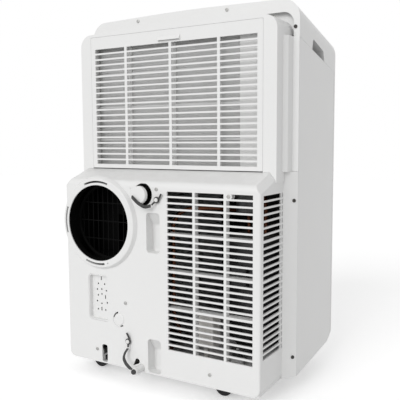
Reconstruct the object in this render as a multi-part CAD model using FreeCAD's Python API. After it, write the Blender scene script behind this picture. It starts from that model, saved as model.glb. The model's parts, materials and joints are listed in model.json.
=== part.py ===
"""Portable air conditioner on casters: every sub-part as its own solid, in millimetres.

Frame: origin at the bottom centre of the bounding box, +Z up. The front faces -Y, the rear +Y,
and +X is on the unit's own left. Rear shells, side panels and top cover meet at FRAME_Y.
"""
import FreeCAD, Part
import math
import os

V = FreeCAD.Vector

# ---------------------------------------------------------------- driving dimensions
BODY_W = 482.0            # across the side panels
FRONT_Y = -180.0          # front face
FRAME_Y = 36.0            # plane where the rear shells meet the side panels and the cover
PANEL_Y = 96.0            # face of the upper rear panel
REAR_Y = 155.0            # face of the lower rear housing
WALL = 2.5                # wall of every moulded shell
SEAM = 0.3                # gap between neighbouring shells
SEAT = 0.2                # gap under a part that rests or hangs on another
FRONT_R = 25.0            # rounding of the front vertical corners

BASE_Z = 30.0             # lower edge of the rear housing above the floor
PAN_PLATE = 3.0           # thickness of the base pan
PAN_RIM = 26.0            # height of the rim round the base pan
PAN_FRONT_Z = 54.0        # underside of the base pan where it turns up
PAN_TURN_Y = -135.0       # where the underside turns up
PAN_NOSE_Z = 84.0         # underside at the front face

PAN_DIP = 4.5             # rise of the underside from the rear face to FRAME_Y

HOUSING_W = BODY_W - 38.0  # lower rear housing
HOUSING_CORNER_R = 17.0
HOUSING_EDGE_R = 4.0
SHOULDER_LOW_Z = 402.0    # where the sloped shoulder leaves the rear face
SHOULDER_TOP_Z = 423.0    # shoulder height at the upper panel
SHOULDER_R = 14.0
SHOULDER_END = (11.0, 14.0)  # width and height of the bevels at the shoulder's ends
FLARE_X = BODY_W / 2 - 10.0  # step of the flare towards the side panel

PANEL_W = BODY_W - 34.0   # upper rear panel
COVER_TOP_Z = 739.0       # crown of the cover at FRAME_Y
PANEL_SIDE_Z = COVER_TOP_Z - 41.5  # height of the panel's crowned top at its sides
PANEL_PEAK_Z = COVER_TOP_Z - 27.5  # where the two straight halves of the top would meet
PANEL_CROWN_R = 2400.0
PANEL_CORNER_R = 25.0
PANEL_GAP_Z = 0.3         # gap between shoulder and upper panel
SKIRT_FRONT_Y = 62.0      # tongues of the panel over the shoulder's ends
SKIRT_REACH = 4.0         # how far they reach below the bevels
SKIRT_ROOT = 6.0          # how far their roots reach inside the bevels
SKIRT_LAP = 1.0           # overlap with the panel above
PANEL_ROOT = 14.0         # how far the panel reaches in behind FRAME_Y
RETURN_Y = 70.0           # first step of the panel's side return

SLOPE = 13.7              # slope of the top, degrees
COVER_SEAM_Z = COVER_TOP_Z - 73.0  # lower edge of the cover at FRAME_Y
COVER_SIDE_Z = COVER_TOP_Z - 4.8  # height of the cover's corner at FRAME_Y
COVER_CORNER_R = 34.0
CROWN_R = 4000.0
CAP_CORNER_R = 22.0       # inner corners of the cover's rear frame
CAP_INNER_W = BODY_W - 22.0  # opening of the cover's rear frame
CAP_INNER_TOP = COVER_TOP_Z - 27.0

SLOT_H = 8.3              # grille slots and blades
BLADE_H = 3.3
GROUP_RIB_H = 4.4
SLOT_COUNTS = (7, 6, 6, 7)
BLADE_DEPTH = 3.5
MULLION_W = 5.2
MULLION_DEPTH = 12.0
GROUP_RIB_DEPTH = 18.0
REAR_GRILLE_MARGIN = 14.5  # housing side to the grille
REAR_GRILLE_GAP = 17.0    # grille to the finger trough
MULLION_SHARES = (0.309, 0.673)  # mullions as shares of the grille's width
REAR_GRILLE_TOP_Z = 387.0
SIDE_GRILLE_Y = (68.1, 143.4)
SIDE_TICK_Y = (61.6, 65.2)
SIDE_GRILLE_DROP = 1.5    # side slots sit this much lower than the rear ones

DOOR_W = PANEL_W - 54.0   # removable grille door
DOOR_BOTTOM_Z = 425.0
DOOR_TOP_Z = COVER_TOP_Z - 46.0
DOOR_THICK = 9.0
DOOR_PLATE_T = 3.0
DOOR_GAP = 0.4
DOOR_GRILLE_W = DOOR_W - 22.0
DOOR_GRILLE_BOTTOM_Z = 433.0
DOOR_SLOT_H = 8.1
DOOR_BLADE_H = 3.27
DOOR_BLADE_DEPTH = 4.0
DOOR_SLOT_COUNT = 21
DOOR_MULLION_SHARE = 0.288  # outer mullions as a share of the grille's width
DOOR_MULLION_W = 6.0
DOOR_HINGE_Y = 93.0
DOOR_HINGE_Z = 428.6
DOOR_PIN_R = 2.0
DOORWAY_DEPTH = 22.0      # depth of the frame that holds the door and the filter
PULL_X = (-24.0, 27.0)    # hooded finger pull over the grille
PULL_Z = (673.0, 684.5)
PULL_PROUD = 4.5
PULL_WALL = 1.6
FILTER_FACE = 14.5        # grid of the filter frame behind the panel's face
FILTER_GRID_T = 4.0
FILTER_STRIP_W = 50.0     # closed strip on the frame's right
FILTER_BORDER = 3.0
FILTER_RIB_W = 7.0
FILTER_RIB_Z = (483.0, 550.0, 617.0)
MESH_T = 0.8

DUCT_X = HOUSING_W / 2 - 90.0  # exhaust outlet
DUCT_Z = 318.0
DUCT_R = 76.0
COLLAR_FACE_R = DUCT_R + 12.5
COLLAR_BASE_R = DUCT_R + 17.0
COLLAR_PROUD = 8.0
COLLAR_LIP_T = 2.0        # depth of the white lip before the black sleeve
SLEEVE_T = 2.0            # wall of the black sleeve behind the lip
BAYONET_SLOT_W = 4.0
BAYONET_SLOT_DEPTH = 7.0
BAYONET_MID_R = DUCT_R + 6.5
BAYONET_SLOTS = ((88.0, 42.0), (2.0, 38.0), (275.5, 34.0))  # middle and span, degrees
COLLAR_PIN_ANGLE = 252.5  # small locating hole in the collar's face
COLLAR_PIN_R = 1.5
GUARD_BAR_W = 1.5
GUARD_PITCH = 13.0
GUARD_CROSS_Z = (-37.0, 0.0, 37.0)
GUARD_DEPTH = 26.0        # bars of the guard behind the rear face

DOCK_X = DUCT_X + 7.7     # recess that parks the hose plug
DOCK_Z = 164.5
DOCK_W = 52.0
DOCK_H = 95.0
DOCK_R = 8.0
DOCK_DEPTH = 9.0
DOCK_HOLE_R = 1.9
DOCK_HOLES = ((7.9, 26.5), (-8.6, 26.6), (10.7, 14.1), (-0.8, 15.5), (-12.9, 13.3), (8.6, 2.2), (-1.0, 5.3),
              (11.3, -10.3), (-0.4, -14.4), (-14.6, -11.5), (9.4, -27.0), (-10.2, -27.0))
DOCK_SLITS = ((-0.2, 37.7), (-10.2, 0.0), (-0.1, -25.6))
DOCK_SLIT = (2.6, 8.0)    # width and height of a slit

BLANK_X = DUCT_X - 44.7   # blanking plug of the spare round outlet
BLANK_Z = 126.6
BLANK_HOLE_R = 15.5
BLANK_DOME_R = 12.4
BLANK_GAPS = ((43.0, 68.0), (247.5, 29.0))  # middle and span of the two edge gaps, degrees

PORT_X = DUCT_X - 106.5   # upper drain
PORT_Z = 379.0
PORT_R = 21.7
PORT_DEPTH = 16.0
PORT_TUBE_R = 9.5
PORT_BORE_R = 7.0
PORT_TUBE_PROUD = 12.0
PORT_TUBE_ROOT = 14.0
CAP_R = 17.0
CAP_PROUD = 16.0          # face of the upper drain cap before the rear face
CAP_LEN = 8.0
PIN_HOLE = (PORT_X + 29.0, 390.0)  # small blind hole beside the port
PIN_HOLE_R = 1.2

SPOUT_X = PORT_X + 8.9    # lower drain
SPOUT_Z = 37.2
SPOUT_R = 7.5
SPOUT_BORE_R = 3.9
SPOUT_PROUD = 23.0
SPOUT_ROOT = 15.0         # how far the spout reaches in behind the rear face
SPOUT_HOLE_R = 8.0
DRIP_HOLE = (SPOUT_X + 9.4, 49.1)  # drop-shaped hole beside the spout
DRIP_HOLE_R = 5.5
DRIP_TIP = (SPOUT_X + 20.2, 38.7)
PLUG_HEAD_R = 4.6
PLUG_HEAD_T = 5.0
PLUG_STEM_L = 14.0
FIT = 0.05                # running or push fit, radial

STRAP_T = 2.0             # rubber straps of the two drains
CAP_STRAP_W = 6.2
PLUG_STRAP_W = 4.4
STUD_R = 1.9
STUD_HEAD_R = 4.0
EYE_R = 6.0
EYE_LIFT = 2.4            # back of an eye off the rear face
STUB_W = STRAP_T + 1.4    # stub of the eye towards its strap
TAIL_R = 1.7
STUD_FOOT_T = 1.2
STUD_HEAD_T = 2.6
STUD_SHANK_L = 7.0
STUD_ROUND = 1.6          # rounding of the head
CAP_STUD = (PORT_X - 34.5, 370.5)
PLUG_STUD = (SPOUT_X + 29.1, 86.5)
CAP_STRAP = ((PORT_X + 12.9, 172.4, 376.2), (PORT_X - 2.0, 174.2, 365.2), (PORT_X - 15.1, 170.0, 357.1),
             (PORT_X - 26.1, 165.0, 359.6))
PLUG_STRAP = ((SPOUT_X + 4.2, 180.8, 40.6), (SPOUT_X + 21.7, 176.0, 48.6), (SPOUT_X + 32.5, 170.0, 56.4),
              (SPOUT_X + 31.8, 165.0, 65.5), (SPOUT_X + 27.2, 161.5, 74.0))
CAP_TAIL = ((-5.5, 2.0), (-11.3, 11.4))
PLUG_TAIL = ((-3.4, 6.5), (2.3, 17.5))

TROUGH_X = (PORT_X - 38.5, PORT_X - 7.5)  # finger troughs for the drain hoses
UPPER_TROUGH_Z = (268.0, 345.0)
UPPER_TROUGH_DEPTH = 22.0
LOWER_TROUGH_Z = (BASE_Z + 2.5, 99.0)
LOWER_TROUGH_DEPTH = 22.0
TROUGH_R = 7.0            # rounded corners of the mouth
TROUGH_RUN = 25.0         # height over which the floor rises to the top end
TROUGH_END_DEPTH = 5.0    # depth at the top end
SEAM_LINE_Z = 285.0       # shallow line from the collar to the upper trough
REAR_GRILLE_X = (REAR_GRILLE_MARGIN - HOUSING_W / 2, TROUGH_X[0] - REAR_GRILLE_GAP)

CASTER_X = BODY_W / 2 - 91.0  # casters
CASTER_FRONT_Y = -125.0
WHEEL_R = 18.0
WHEEL_W = 5.4
WHEEL_PAIR_W = 16.0
CASTER_TRAIL = 24.0
CASTER_SLOT_X = CASTER_X - 24.0  # slot in the rear wall behind the left caster
CASTER_SLOT_W = 14.0
CASTER_SLOT_Z = (BASE_Z + 2.5, 68.8)
CASTER_TOP_Z = 42.0
CASTER_STEM_R = 4.0
CASTER_STEM_L = 22.0
CASTER_CLEAR = 2.0
AXLE_R = 2.5
BOSS_R = 10.0

OUTLET_W = BODY_W - 152.0  # front air outlet
OUTLET_Z = (500.0, 575.0)
OUTLET_DEPTH = 46.0
FLAP_GAP = 0.8
FLAP_T = 4.0
FLAP_PIVOT = 6.0          # pivot above the flap's lower edge
FLAP_PIN_R = 1.5
VANES = 5
VANE_Y = FRONT_Y + WALL + 25.0
FLAP_Y = FRONT_Y + FLAP_T / 2
FLAP_PIVOT_Z = OUTLET_Z[0] + FLAP_GAP + FLAP_PIVOT
GROOVE_Z = (120.0, 480.0)  # lines across the front panel
VANE_CHORD = 26.0
VANE_T = 1.8
VANE_PIN_R = 1.6

CONTROL_W = 190.0         # control panel on the sloping top
CONTROL_H = 70.0
CONTROL_Y = -75.0
BUTTONS = 5
BUTTON_R = 6.5
BUTTON_PITCH = 22.0
BUTTON_GAP = 0.35
BUTTON_TRAVEL = 1.2
DISPLAY_W = 46.0
DISPLAY_H = 24.0

GRIP_Y = (-95.0, -27.0)   # hand grips in the cover's side bands
GRIP_H = 20.0
GRIP_LEAN = 8.0           # how far the grip's ends lean
GRIP_DEPTH = 26.0

DECK_Z = 430.0            # drip tray between the two compartments
COIL_T = 36.0             # evaporator coil
COIL_W = PANEL_W - 98.0
COIL_H = 236.0
COIL_TUBE_R = 4.0
FAN_R = 46.0              # cross-flow evaporator fan
FAN_L = OUTLET_W - 10.0
FAN_Y = -72.0
FAN_Z = 580.0
FAN_BLADES = 30
SHAFT_R = 4.0

COND_X = (DUCT_X - 114.0, DUCT_X - 86.0)  # condenser coil
COND_Y = (-140.0, 88.0)
COND_Z = (64.0, 404.0)
BLOWER_Y = -40.0          # exhaust blower
BLOWER_Z = 226.0
BLOWER_R = 70.0
BLOWER_BLADES = 28
SCROLL_R = 100.0
SCROLL_X = (DUCT_X - 66.0, DUCT_X + 28.0)
SCROLL_WALL = 2.0
THROAT_Z = 244.0          # sill of the volute's outlet
PLENUM_Y = 62.0           # front wall of the plenum behind the hose outlet

COMP_X = 121.0 - BODY_W / 2  # compressor
COMP_Y = -30.0
COMP_R = 58.0
COMP_Z = (66.0, 292.0)
PAD_Z = 52.0              # top of the base pan's pads under the compressor
STUD_BOLT_R = 3.0
FOOT_PCD_R = 74.0
GROMMET_R = 10.0
CAN_ROUND = 26.0          # rounded ends of the compressor's can
CAN_SEAM = (62.0, 5.0, 1.6)  # welded seam: below the top, height and how far it stands out
FOOT_ARM_R = 13.0
FOOT_PLATE_T = 5.0
FOOT_RISE = 2.0           # foot plate under the can's bottom
TERMINAL_W = 32.0
TERMINAL_Z = (190.0, 232.0)
TERMINAL_REACH = 12.0     # terminal cover beyond the can
PIPE_R = 4.0
SUCTION_X = 150.0         # where the pipes pass the drip tray
SUCTION_Y = -6.0
PIPE_GAP = 24.0           # suction to liquid line
DOWN_PIPE = (DUCT_X - 132.0, 90.0)  # upright run of the discharge line
DISCHARGE_OUT = 12.0      # where the lines leave the compressor's top
SUCTION_BACK = 26.0
CAPACITOR_R = 19.0
CAPACITOR_Z = (346.0, 412.0)
CLAMP_Z = 372.0
CLAMP_H = 18.0
SCREW_R = 3.4
SCREW_T = 1.6
SCREW_BOSS = (-160.0, 383.0)  # screw boss inside the rear grille
SCREW_BOSS_R = 6.5
REAR_SCREWS = ((PORT_X - 32.0, 390.0), (-121.0, 54.0), (DUCT_X - 61.0, 162.0), (DUCT_X + 13.5, 56.6),
               SCREW_BOSS)
COVER_SCREWS = ((119.0, COVER_TOP_Z - 10.0), (-92.0, COVER_TOP_Z - 10.0))
EDGE_SCREW_Z = COVER_TOP_Z - 55.0
FLARE_SCREW_Z = (370.0, 74.0)
CAPACITOR_X = -150.0
CAPACITOR_Y = 66.0
BOX_X = (-105.0, -60.0)   # terminal box
BOX_Y = (84.0, 116.0)
BOX_Z = (88.0, 150.0)

HALF = BODY_W / 2
HOUSING_HALF = HOUSING_W / 2
PANEL_HALF = PANEL_W / 2
TAN_SLOPE = math.tan(math.radians(SLOPE))
FAR = 900.0               # longer than the whole unit, for cutting tools


# ---------------------------------------------------------------- helpers
def box(x, y, z):
    """Box between the two values of each pair."""
    return Part.makeBox(x[1] - x[0], y[1] - y[0], z[1] - z[0], V(x[0], y[0], z[0]))


def rod(start, axis, radius, length):
    return Part.makeCylinder(radius, length, V(*start), V(*axis))


def ring(start, axis, outer, inner, length):
    return rod(start, axis, outer, length).cut(rod(start, axis, inner, length))


def place_in(plane, at):
    """Maps two in-plane numbers to a point of the plane xy, xz or yz at a given height."""
    maps = {
        "xy": lambda u, v: V(u, v, at),
        "xz": lambda u, v: V(u, at, v),
        "yz": lambda u, v: V(at, u, v),
    }
    return maps[plane]


def outline(points, radii, plane, at):
    """Closed face with straight sides and tangent arcs at the corners that have a radius."""
    place = place_in(plane, at)
    corners = []
    count = len(points)
    for i, (u, v) in enumerate(points):
        here = V(u, v, 0)
        back = (V(*points[i - 1], 0) - here).normalize()
        ahead = (V(*points[(i + 1) % count], 0) - here).normalize()
        half = back.getAngle(ahead) / 2
        radius = radii[i]
        reach = radius / math.tan(half)
        middle = (back + ahead).normalize()
        crest = here + middle * (radius / math.sin(half) - radius)
        corners.append((here + back * reach, crest, here + ahead * reach, radius))
    edges = []
    for i, (start, crest, end, radius) in enumerate(corners):
        if radius > 0:
            edges.append(Part.Arc(place(*start[:2]), place(*crest[:2]), place(*end[:2])).toShape())
        following = corners[(i + 1) % count][0]
        if (following - end).Length > 1e-6:
            edges.append(Part.LineSegment(place(*end[:2]), place(*following[:2])).toShape())
    return Part.Face(Part.Wire(edges))


def prism(points, radii, plane, span):
    """Outline extruded across its plane from span[0] to span[1]."""
    face = outline(points, radii, plane, span[0])
    along = {"xy": V(0, 0, 1), "xz": V(0, 1, 0), "yz": V(1, 0, 0)}[plane]
    return face.extrude(along * (span[1] - span[0]))


def slab(x, z, radius, y):
    """Rounded rectangle in the XZ plane with a thickness along Y."""
    points = [(x[0], z[0]), (x[1], z[0]), (x[1], z[1]), (x[0], z[1])]
    return prism(points, [radius] * 4, "xz", y)


def fuse(shapes):
    whole = shapes[0]
    if len(shapes) > 1:
        whole = whole.fuse(shapes[1:])
    return whole.removeSplitter()


def cut(shape, tools):
    return shape.cut(tools).removeSplitter()


def mirror_x(shape):
    return shape.mirror(V(0, 0, 0), V(1, 0, 0))


def pipe(points, radius):
    """Tube along straight runs joined by tangent arcs."""
    edges = []
    last = V(*points[0])
    radii = []
    for i in range(1, len(points) - 1):
        here = V(*points[i])
        back = V(*points[i - 1]) - here
        ahead = V(*points[i + 1]) - here
        short = min(back.Length, ahead.Length)
        half = back.getAngle(ahead) / 2
        reach = 0.45 * short
        bend = reach * math.tan(half)
        back.normalize()
        ahead.normalize()
        middle = (back + ahead).normalize()
        crest = here + middle * (bend / math.sin(half) - bend)
        start = here + back * reach
        end = here + ahead * reach
        edges.append(Part.LineSegment(last, start).toShape())
        edges.append(Part.Arc(start, crest, end).toShape())
        radii.append(round(bend, 1))
        last = end
    edges.append(Part.LineSegment(last, V(*points[-1])).toShape())
    spine = Part.Wire(edges)
    first = V(*points[1]) - V(*points[0])
    section = Part.Wire(Part.Circle(V(*points[0]), first, radius).toShape())
    tube = spine.makePipeShell([section], True, True)
    expected = math.pi * radius ** 2 * spine.Length
    print("bend radii", radii, "volume over section times length", round(tube.Volume / expected, 3))
    return tube


def drop(y):
    """How far the top has fallen at y, measured from FRAME_Y."""
    return (FRAME_Y - y) * TAN_SLOPE


def save(name, shape):
    if not shape.isValid():
        print("INVALID", name)
    solids = shape.Solids
    if len(solids) == 1:
        shape = solids[0]
    shape.exportStep("parts/" + name + ".step")
    print(name, len(solids), round(shape.Volume), [round(v, 1) for v in (
        shape.BoundBox.XMin, shape.BoundBox.XMax, shape.BoundBox.YMin,
        shape.BoundBox.YMax, shape.BoundBox.ZMin, shape.BoundBox.ZMax)])


def slot_rows(top):
    """Lower and upper edge of every grille slot, from the top down."""
    rows = []
    z = top
    for count in SLOT_COUNTS:
        for _ in range(count):
            rows.append((z - SLOT_H, z))
            z -= SLOT_H + BLADE_H
        z -= GROUP_RIB_H - BLADE_H
    return rows


def underside(offset):
    """Line of the unit's underside from rear to front, raised by an offset."""
    return [
        (REAR_Y, BASE_Z + offset),
        (FRAME_Y, BASE_Z + PAN_DIP + offset),
        (PAN_TURN_Y, PAN_FRONT_Z + offset),
        (FRONT_Y, PAN_NOSE_Z + offset),
    ]


# ---------------------------------------------------------------- lower rear housing
def housing_block(inset):
    """Solid inside the housing's outer faces, moved in by an inset; open downwards if inset."""
    half = HOUSING_HALF - inset
    face = REAR_Y - inset
    low = BASE_Z if inset == 0 else BASE_Z - 1
    front = FRAME_Y if inset == 0 else FRAME_Y - 1
    sides = [(-half, low), (half, low), (half, FAR), (-half, FAR)]
    corner = HOUSING_CORNER_R if inset == 0 else 0
    faces = prism(sides, [corner, corner, 0, 0], "xz", (front, face))
    plan = [(-half, front), (half, front), (half, face), (-half, face)]
    edge = max(HOUSING_EDGE_R - inset, 1)
    plan_solid = prism(plan, [0, 0, edge, edge], "xy", (low, FAR))
    shoulder = [
        (front, low), (face, low), (face, SHOULDER_LOW_Z - inset),
        (PANEL_Y, SHOULDER_TOP_Z - inset), (front, SHOULDER_TOP_Z - inset),
    ]
    round_top = SHOULDER_R - inset
    profile = prism(shoulder, [0, 0, round_top, 0, 0], "yz", (-HALF, HALF))
    return faces.common(plan_solid).common(profile).common(shoulder_ends(half, inset))


def shoulder_ends(half, inset):
    """Room under the roof and the sloped shoulder with bevelled ends."""
    wide, high = SHOULDER_END
    top = SHOULDER_TOP_Z - inset
    points = [(-half, 0), (half, 0), (half, top - high), (half - wide, top), (wide - half, top),
              (-half, top - high)]
    radii = [0, 0, 2, 3, 3, 2]
    under_roof = prism(points, radii, "xz", (FRAME_Y - 1, PANEL_Y))
    face = outline(points, radii, "xz", PANEL_Y)
    run = REAR_Y + 1 - PANEL_Y
    fall = run * (SHOULDER_TOP_Z - SHOULDER_LOW_Z) / (REAR_Y - PANEL_Y)
    return under_roof.fuse(face.extrude(V(0, run, -fall))).removeSplitter()


def flare(side, top):
    """Wing that carries the rear housing's side wall out to the side panel."""
    inner = HOUSING_HALF - WALL
    points = [
        (inner, 60), (HOUSING_HALF, 60), (FLARE_X, 50), (HALF, FRAME_Y + 1.2), (HALF, FRAME_Y),
        (FLARE_X - 2, FRAME_Y), (FLARE_X - 2, 46), (inner, 56),
    ]
    wing = prism(points, [0] * 8, "xy", (BASE_Z + PAN_DIP, top))
    return wing if side > 0 else mirror_x(wing)


def trough(z, depth, grow):
    """Deep recess in the rear face whose floor rises to its top end."""
    back = REAR_Y - depth - grow
    mouth = REAR_Y + (0 if grow else 1)
    points = [
        (mouth, z[0] - grow), (back, z[0] - grow), (back, z[1] - TROUGH_RUN),
        (REAR_Y - TROUGH_END_DEPTH - grow, z[1] + grow), (mouth, z[1] + grow),
    ]
    across = (TROUGH_X[0] - grow, TROUGH_X[1] + grow)
    mouth_shape = slab(across, (z[0] - grow, z[1] + grow), TROUGH_R + grow, (back, mouth))
    return prism(points, [0, 3, 8, 2, 0], "yz", across).common(mouth_shape)


def grille_mullions():
    left, right = REAR_GRILLE_X
    return [left + share * (right - left) for share in MULLION_SHARES]


def group_ribs(rows):
    """Middle height of the thick ribs between the groups of slots."""
    levels = []
    for i in range(len(rows) - 1):
        if rows[i][0] - rows[i + 1][1] > BLADE_H + 0.1:
            levels.append((rows[i][0] + rows[i + 1][1]) / 2)
    return levels


def drip_hole(y):
    """Drop-shaped opening beside the spout."""
    x, z = DRIP_HOLE
    hole = rod((x, y[0], z), (0, 1, 0), DRIP_HOLE_R, y[1] - y[0])
    away = V(DRIP_TIP[0] - x, DRIP_TIP[1] - z, 0)
    open_angle = math.acos(DRIP_HOLE_R / away.Length)
    points = [DRIP_TIP]
    for turn in (open_angle, -open_angle):
        angle = math.atan2(away.y, away.x) + turn
        points.append((x + DRIP_HOLE_R * math.cos(angle), z + DRIP_HOLE_R * math.sin(angle)))
    return hole.fuse(prism(points, [0, 0, 0], "xz", y))


def rear_housing():
    shell = housing_block(0).cut(housing_block(WALL))
    top = SHOULDER_TOP_Z
    rows = slot_rows(REAR_GRILLE_TOP_Z)
    bottom = rows[-1][0]
    inner = REAR_Y - WALL
    backing_x = (REAR_GRILLE_X[0] - 3, REAR_GRILLE_X[1] + 3)
    backing_z = (bottom - 3, REAR_GRILLE_TOP_Z + 3)
    rib_y = (REAR_Y - MULLION_DEPTH, inner)
    adds = [flare(1, top), flare(-1, top)]
    adds.append(box(backing_x, (REAR_Y - BLADE_DEPTH, inner), backing_z))
    for x in grille_mullions():
        adds.append(box((x - MULLION_W / 2, x + MULLION_W / 2), rib_y, backing_z))
    deep_rib_y = (REAR_Y - GROUP_RIB_DEPTH, inner)
    for z in group_ribs(rows):
        adds.append(box(backing_x, deep_rib_y, (z - GROUP_RIB_H / 2, z + GROUP_RIB_H / 2)))
    side_x = (-HOUSING_HALF + WALL, -HOUSING_HALF + BLADE_DEPTH)
    side_y = (SIDE_GRILLE_Y[0] - 3, SIDE_GRILLE_Y[1] + 3)
    adds.append(box(side_x, side_y, (rows[-2][0] - 3, REAR_GRILLE_TOP_Z + 1)))
    adds.append(trough(UPPER_TROUGH_Z, UPPER_TROUGH_DEPTH, WALL))
    adds.append(trough(LOWER_TROUGH_Z, LOWER_TROUGH_DEPTH, WALL))
    boss_x, boss_z = SCREW_BOSS
    adds.append(rod((boss_x, REAR_Y - MULLION_DEPTH, boss_z), (0, 1, 0), SCREW_BOSS_R, MULLION_DEPTH))
    shell = fuse([shell] + adds)

    cuts = []
    columns = []
    left = REAR_GRILLE_X[0]
    for x in grille_mullions():
        columns.append((left, x - MULLION_W / 2))
        left = x + MULLION_W / 2
    columns.append((left, REAR_GRILLE_X[1]))
    through = (REAR_Y - MULLION_DEPTH - 1, REAR_Y + 1)
    boss = rod((boss_x, through[0], boss_z), (0, 1, 0), SCREW_BOSS_R, through[1] - through[0])
    for low, high in rows:
        for column in columns:
            opening = box(column, through, (low, high))
            beside_boss = low > boss_z - 20 and column[0] < boss_x < column[1]
            cuts.append(opening.cut(boss) if beside_boss else opening)
    outside = (-HOUSING_HALF - 1, -HOUSING_HALF + BLADE_DEPTH + 1)
    for low, high in rows[:-1]:
        level = (low - SIDE_GRILLE_DROP, high - SIDE_GRILLE_DROP)
        cuts.append(box(outside, SIDE_GRILLE_Y, level))
        cuts.append(box((outside[0], outside[0] + WALL + 2), SIDE_TICK_Y, level))
    wall_y = (inner - 1, REAR_Y + 1)
    cuts.append(rod((DUCT_X, wall_y[0], DUCT_Z), (0, 1, 0), DUCT_R + SLEEVE_T + 1, WALL + 2))
    cuts.append(rod((PORT_X, inner - 3, PORT_Z), (0, 1, 0), PORT_R, WALL + 9))
    cuts.append(rod((BLANK_X, wall_y[0], BLANK_Z), (0, 1, 0), BLANK_HOLE_R, WALL + 2))
    cuts.append(rod((SPOUT_X, wall_y[0], SPOUT_Z), (0, 1, 0), SPOUT_HOLE_R, WALL + 2))
    cuts.append(rod((PIN_HOLE[0], REAR_Y - 1.5, PIN_HOLE[1]), (0, 1, 0), PIN_HOLE_R, 2))
    cuts.append(drip_hole(wall_y))
    cuts.append(slab((DOCK_X - DOCK_W / 2, DOCK_X + DOCK_W / 2),
                     (DOCK_Z - DOCK_H / 2, DOCK_Z + DOCK_H / 2), DOCK_R, wall_y))
    half_slot = CASTER_SLOT_W / 2
    cuts.append(slab((CASTER_SLOT_X - half_slot, CASTER_SLOT_X + half_slot), CASTER_SLOT_Z, 4.5, wall_y))
    cuts.append(box((TROUGH_X[1] - 1, DUCT_X - COLLAR_BASE_R), (REAR_Y - 0.5, REAR_Y + 1),
                    (SEAM_LINE_Z, SEAM_LINE_Z + 0.8)))
    cuts.append(trough(UPPER_TROUGH_Z, UPPER_TROUGH_DEPTH, 0))
    cuts.append(trough(LOWER_TROUGH_Z, LOWER_TROUGH_DEPTH, 0))
    save("rear_housing", cut(shell, cuts))


# ---------------------------------------------------------------- upper rear panel and its door
def panel_block(inset):
    """Solid inside the panel's outer faces, moved in by an inset; its top is crowned."""
    half = PANEL_HALF - inset
    low = SHOULDER_TOP_Z + PANEL_GAP_Z - (0 if inset == 0 else 1)
    front = FRAME_Y - PANEL_ROOT - (0 if inset == 0 else 2)
    points = [(-half, low), (half, low), (half, PANEL_SIDE_Z - inset), (0, PANEL_PEAK_Z - inset),
              (-half, PANEL_SIDE_Z - inset)]
    corner = PANEL_CORNER_R - inset
    return prism(points, [0, 0, corner, PANEL_CROWN_R, corner], "xz", (front, PANEL_Y - inset))


def panel_return(side):
    """Stepped side return of the upper panel, from its side wall out to the side panel."""
    inner = PANEL_HALF - WALL
    points = [
        (inner, RETURN_Y), (PANEL_HALF + 1, RETURN_Y), (FLARE_X, RETURN_Y - 7), (FLARE_X, 41),
        (HALF, FRAME_Y + 1.2), (HALF, FRAME_Y), (FLARE_X - WALL, FRAME_Y),
        (FLARE_X - WALL, RETURN_Y - 9), (inner, RETURN_Y - 4),
    ]
    low = SHOULDER_TOP_Z + PANEL_GAP_Z
    wing = prism(points, [0] * 9, "xy", (low, COVER_SEAM_Z - SEAM))
    return wing if side > 0 else mirror_x(wing)


def panel_skirt(side):
    """Tongue of the panel that reaches down over the bevelled end of the shoulder."""
    wide, high = SHOULDER_END
    top = SHOULDER_TOP_Z + PANEL_GAP_Z + SKIRT_LAP
    tip = SHOULDER_TOP_Z - high - SKIRT_REACH
    points = [(PANEL_HALF - wide - SKIRT_ROOT, top), (PANEL_HALF, top), (PANEL_HALF, tip), (HOUSING_HALF, tip)]
    tongue = prism(points, [0] * 4, "xz", (SKIRT_FRONT_Y, PANEL_Y)).cut(housing_block(-PANEL_GAP_Z))
    return tongue if side > 0 else mirror_x(tongue)


def rear_panel():
    """Upper rear shell with its doorway and the flange that closes the cover's opening from behind."""
    flange_x = CAP_INNER_W / 2 + 4
    root = FRAME_Y - PANEL_ROOT
    flange_z = (COVER_SEAM_Z - 12, CAP_INNER_TOP + 6)
    flange = slab((-flange_x, flange_x), flange_z, CAP_CORNER_R, (root, root + WALL))
    shell = panel_block(0).fuse(flange).cut(panel_block(WALL))
    half = DOOR_W / 2 + DOOR_GAP
    low = DOOR_BOTTOM_Z - DOOR_GAP
    high = DOOR_TOP_Z + DOOR_GAP
    seat = PANEL_Y - DOORWAY_DEPTH
    frame = slab((-half - WALL, half + WALL), (low, high + WALL), 3, (seat, PANEL_Y - WALL))
    adds = [panel_return(1), panel_return(-1), panel_skirt(1), panel_skirt(-1), frame.common(panel_block(0))]
    shell = fuse([shell] + adds)
    doorway = slab((-half, half), (low - 9, high), 2, (seat - 1, PANEL_Y + 1))
    pins = []
    for side in (-1, 1):
        start = side * (half + 1.9) if side < 0 else half - 0.1
        pins.append(rod((start, DOOR_HINGE_Y, DOOR_HINGE_Z), (1, 0, 0), DOOR_PIN_R + FIT, 2.0))
    save("rear_panel", cut(shell, [doorway] + pins))


def door_rows():
    rows = []
    z = DOOR_GRILLE_BOTTOM_Z
    for _ in range(DOOR_SLOT_COUNT):
        rows.append((z, z + DOOR_SLOT_H))
        z += DOOR_SLOT_H + DOOR_BLADE_H
    return rows


def door_mullions():
    reach = DOOR_MULLION_SHARE * DOOR_GRILLE_W
    return [-reach, 0.0, reach]


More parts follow.
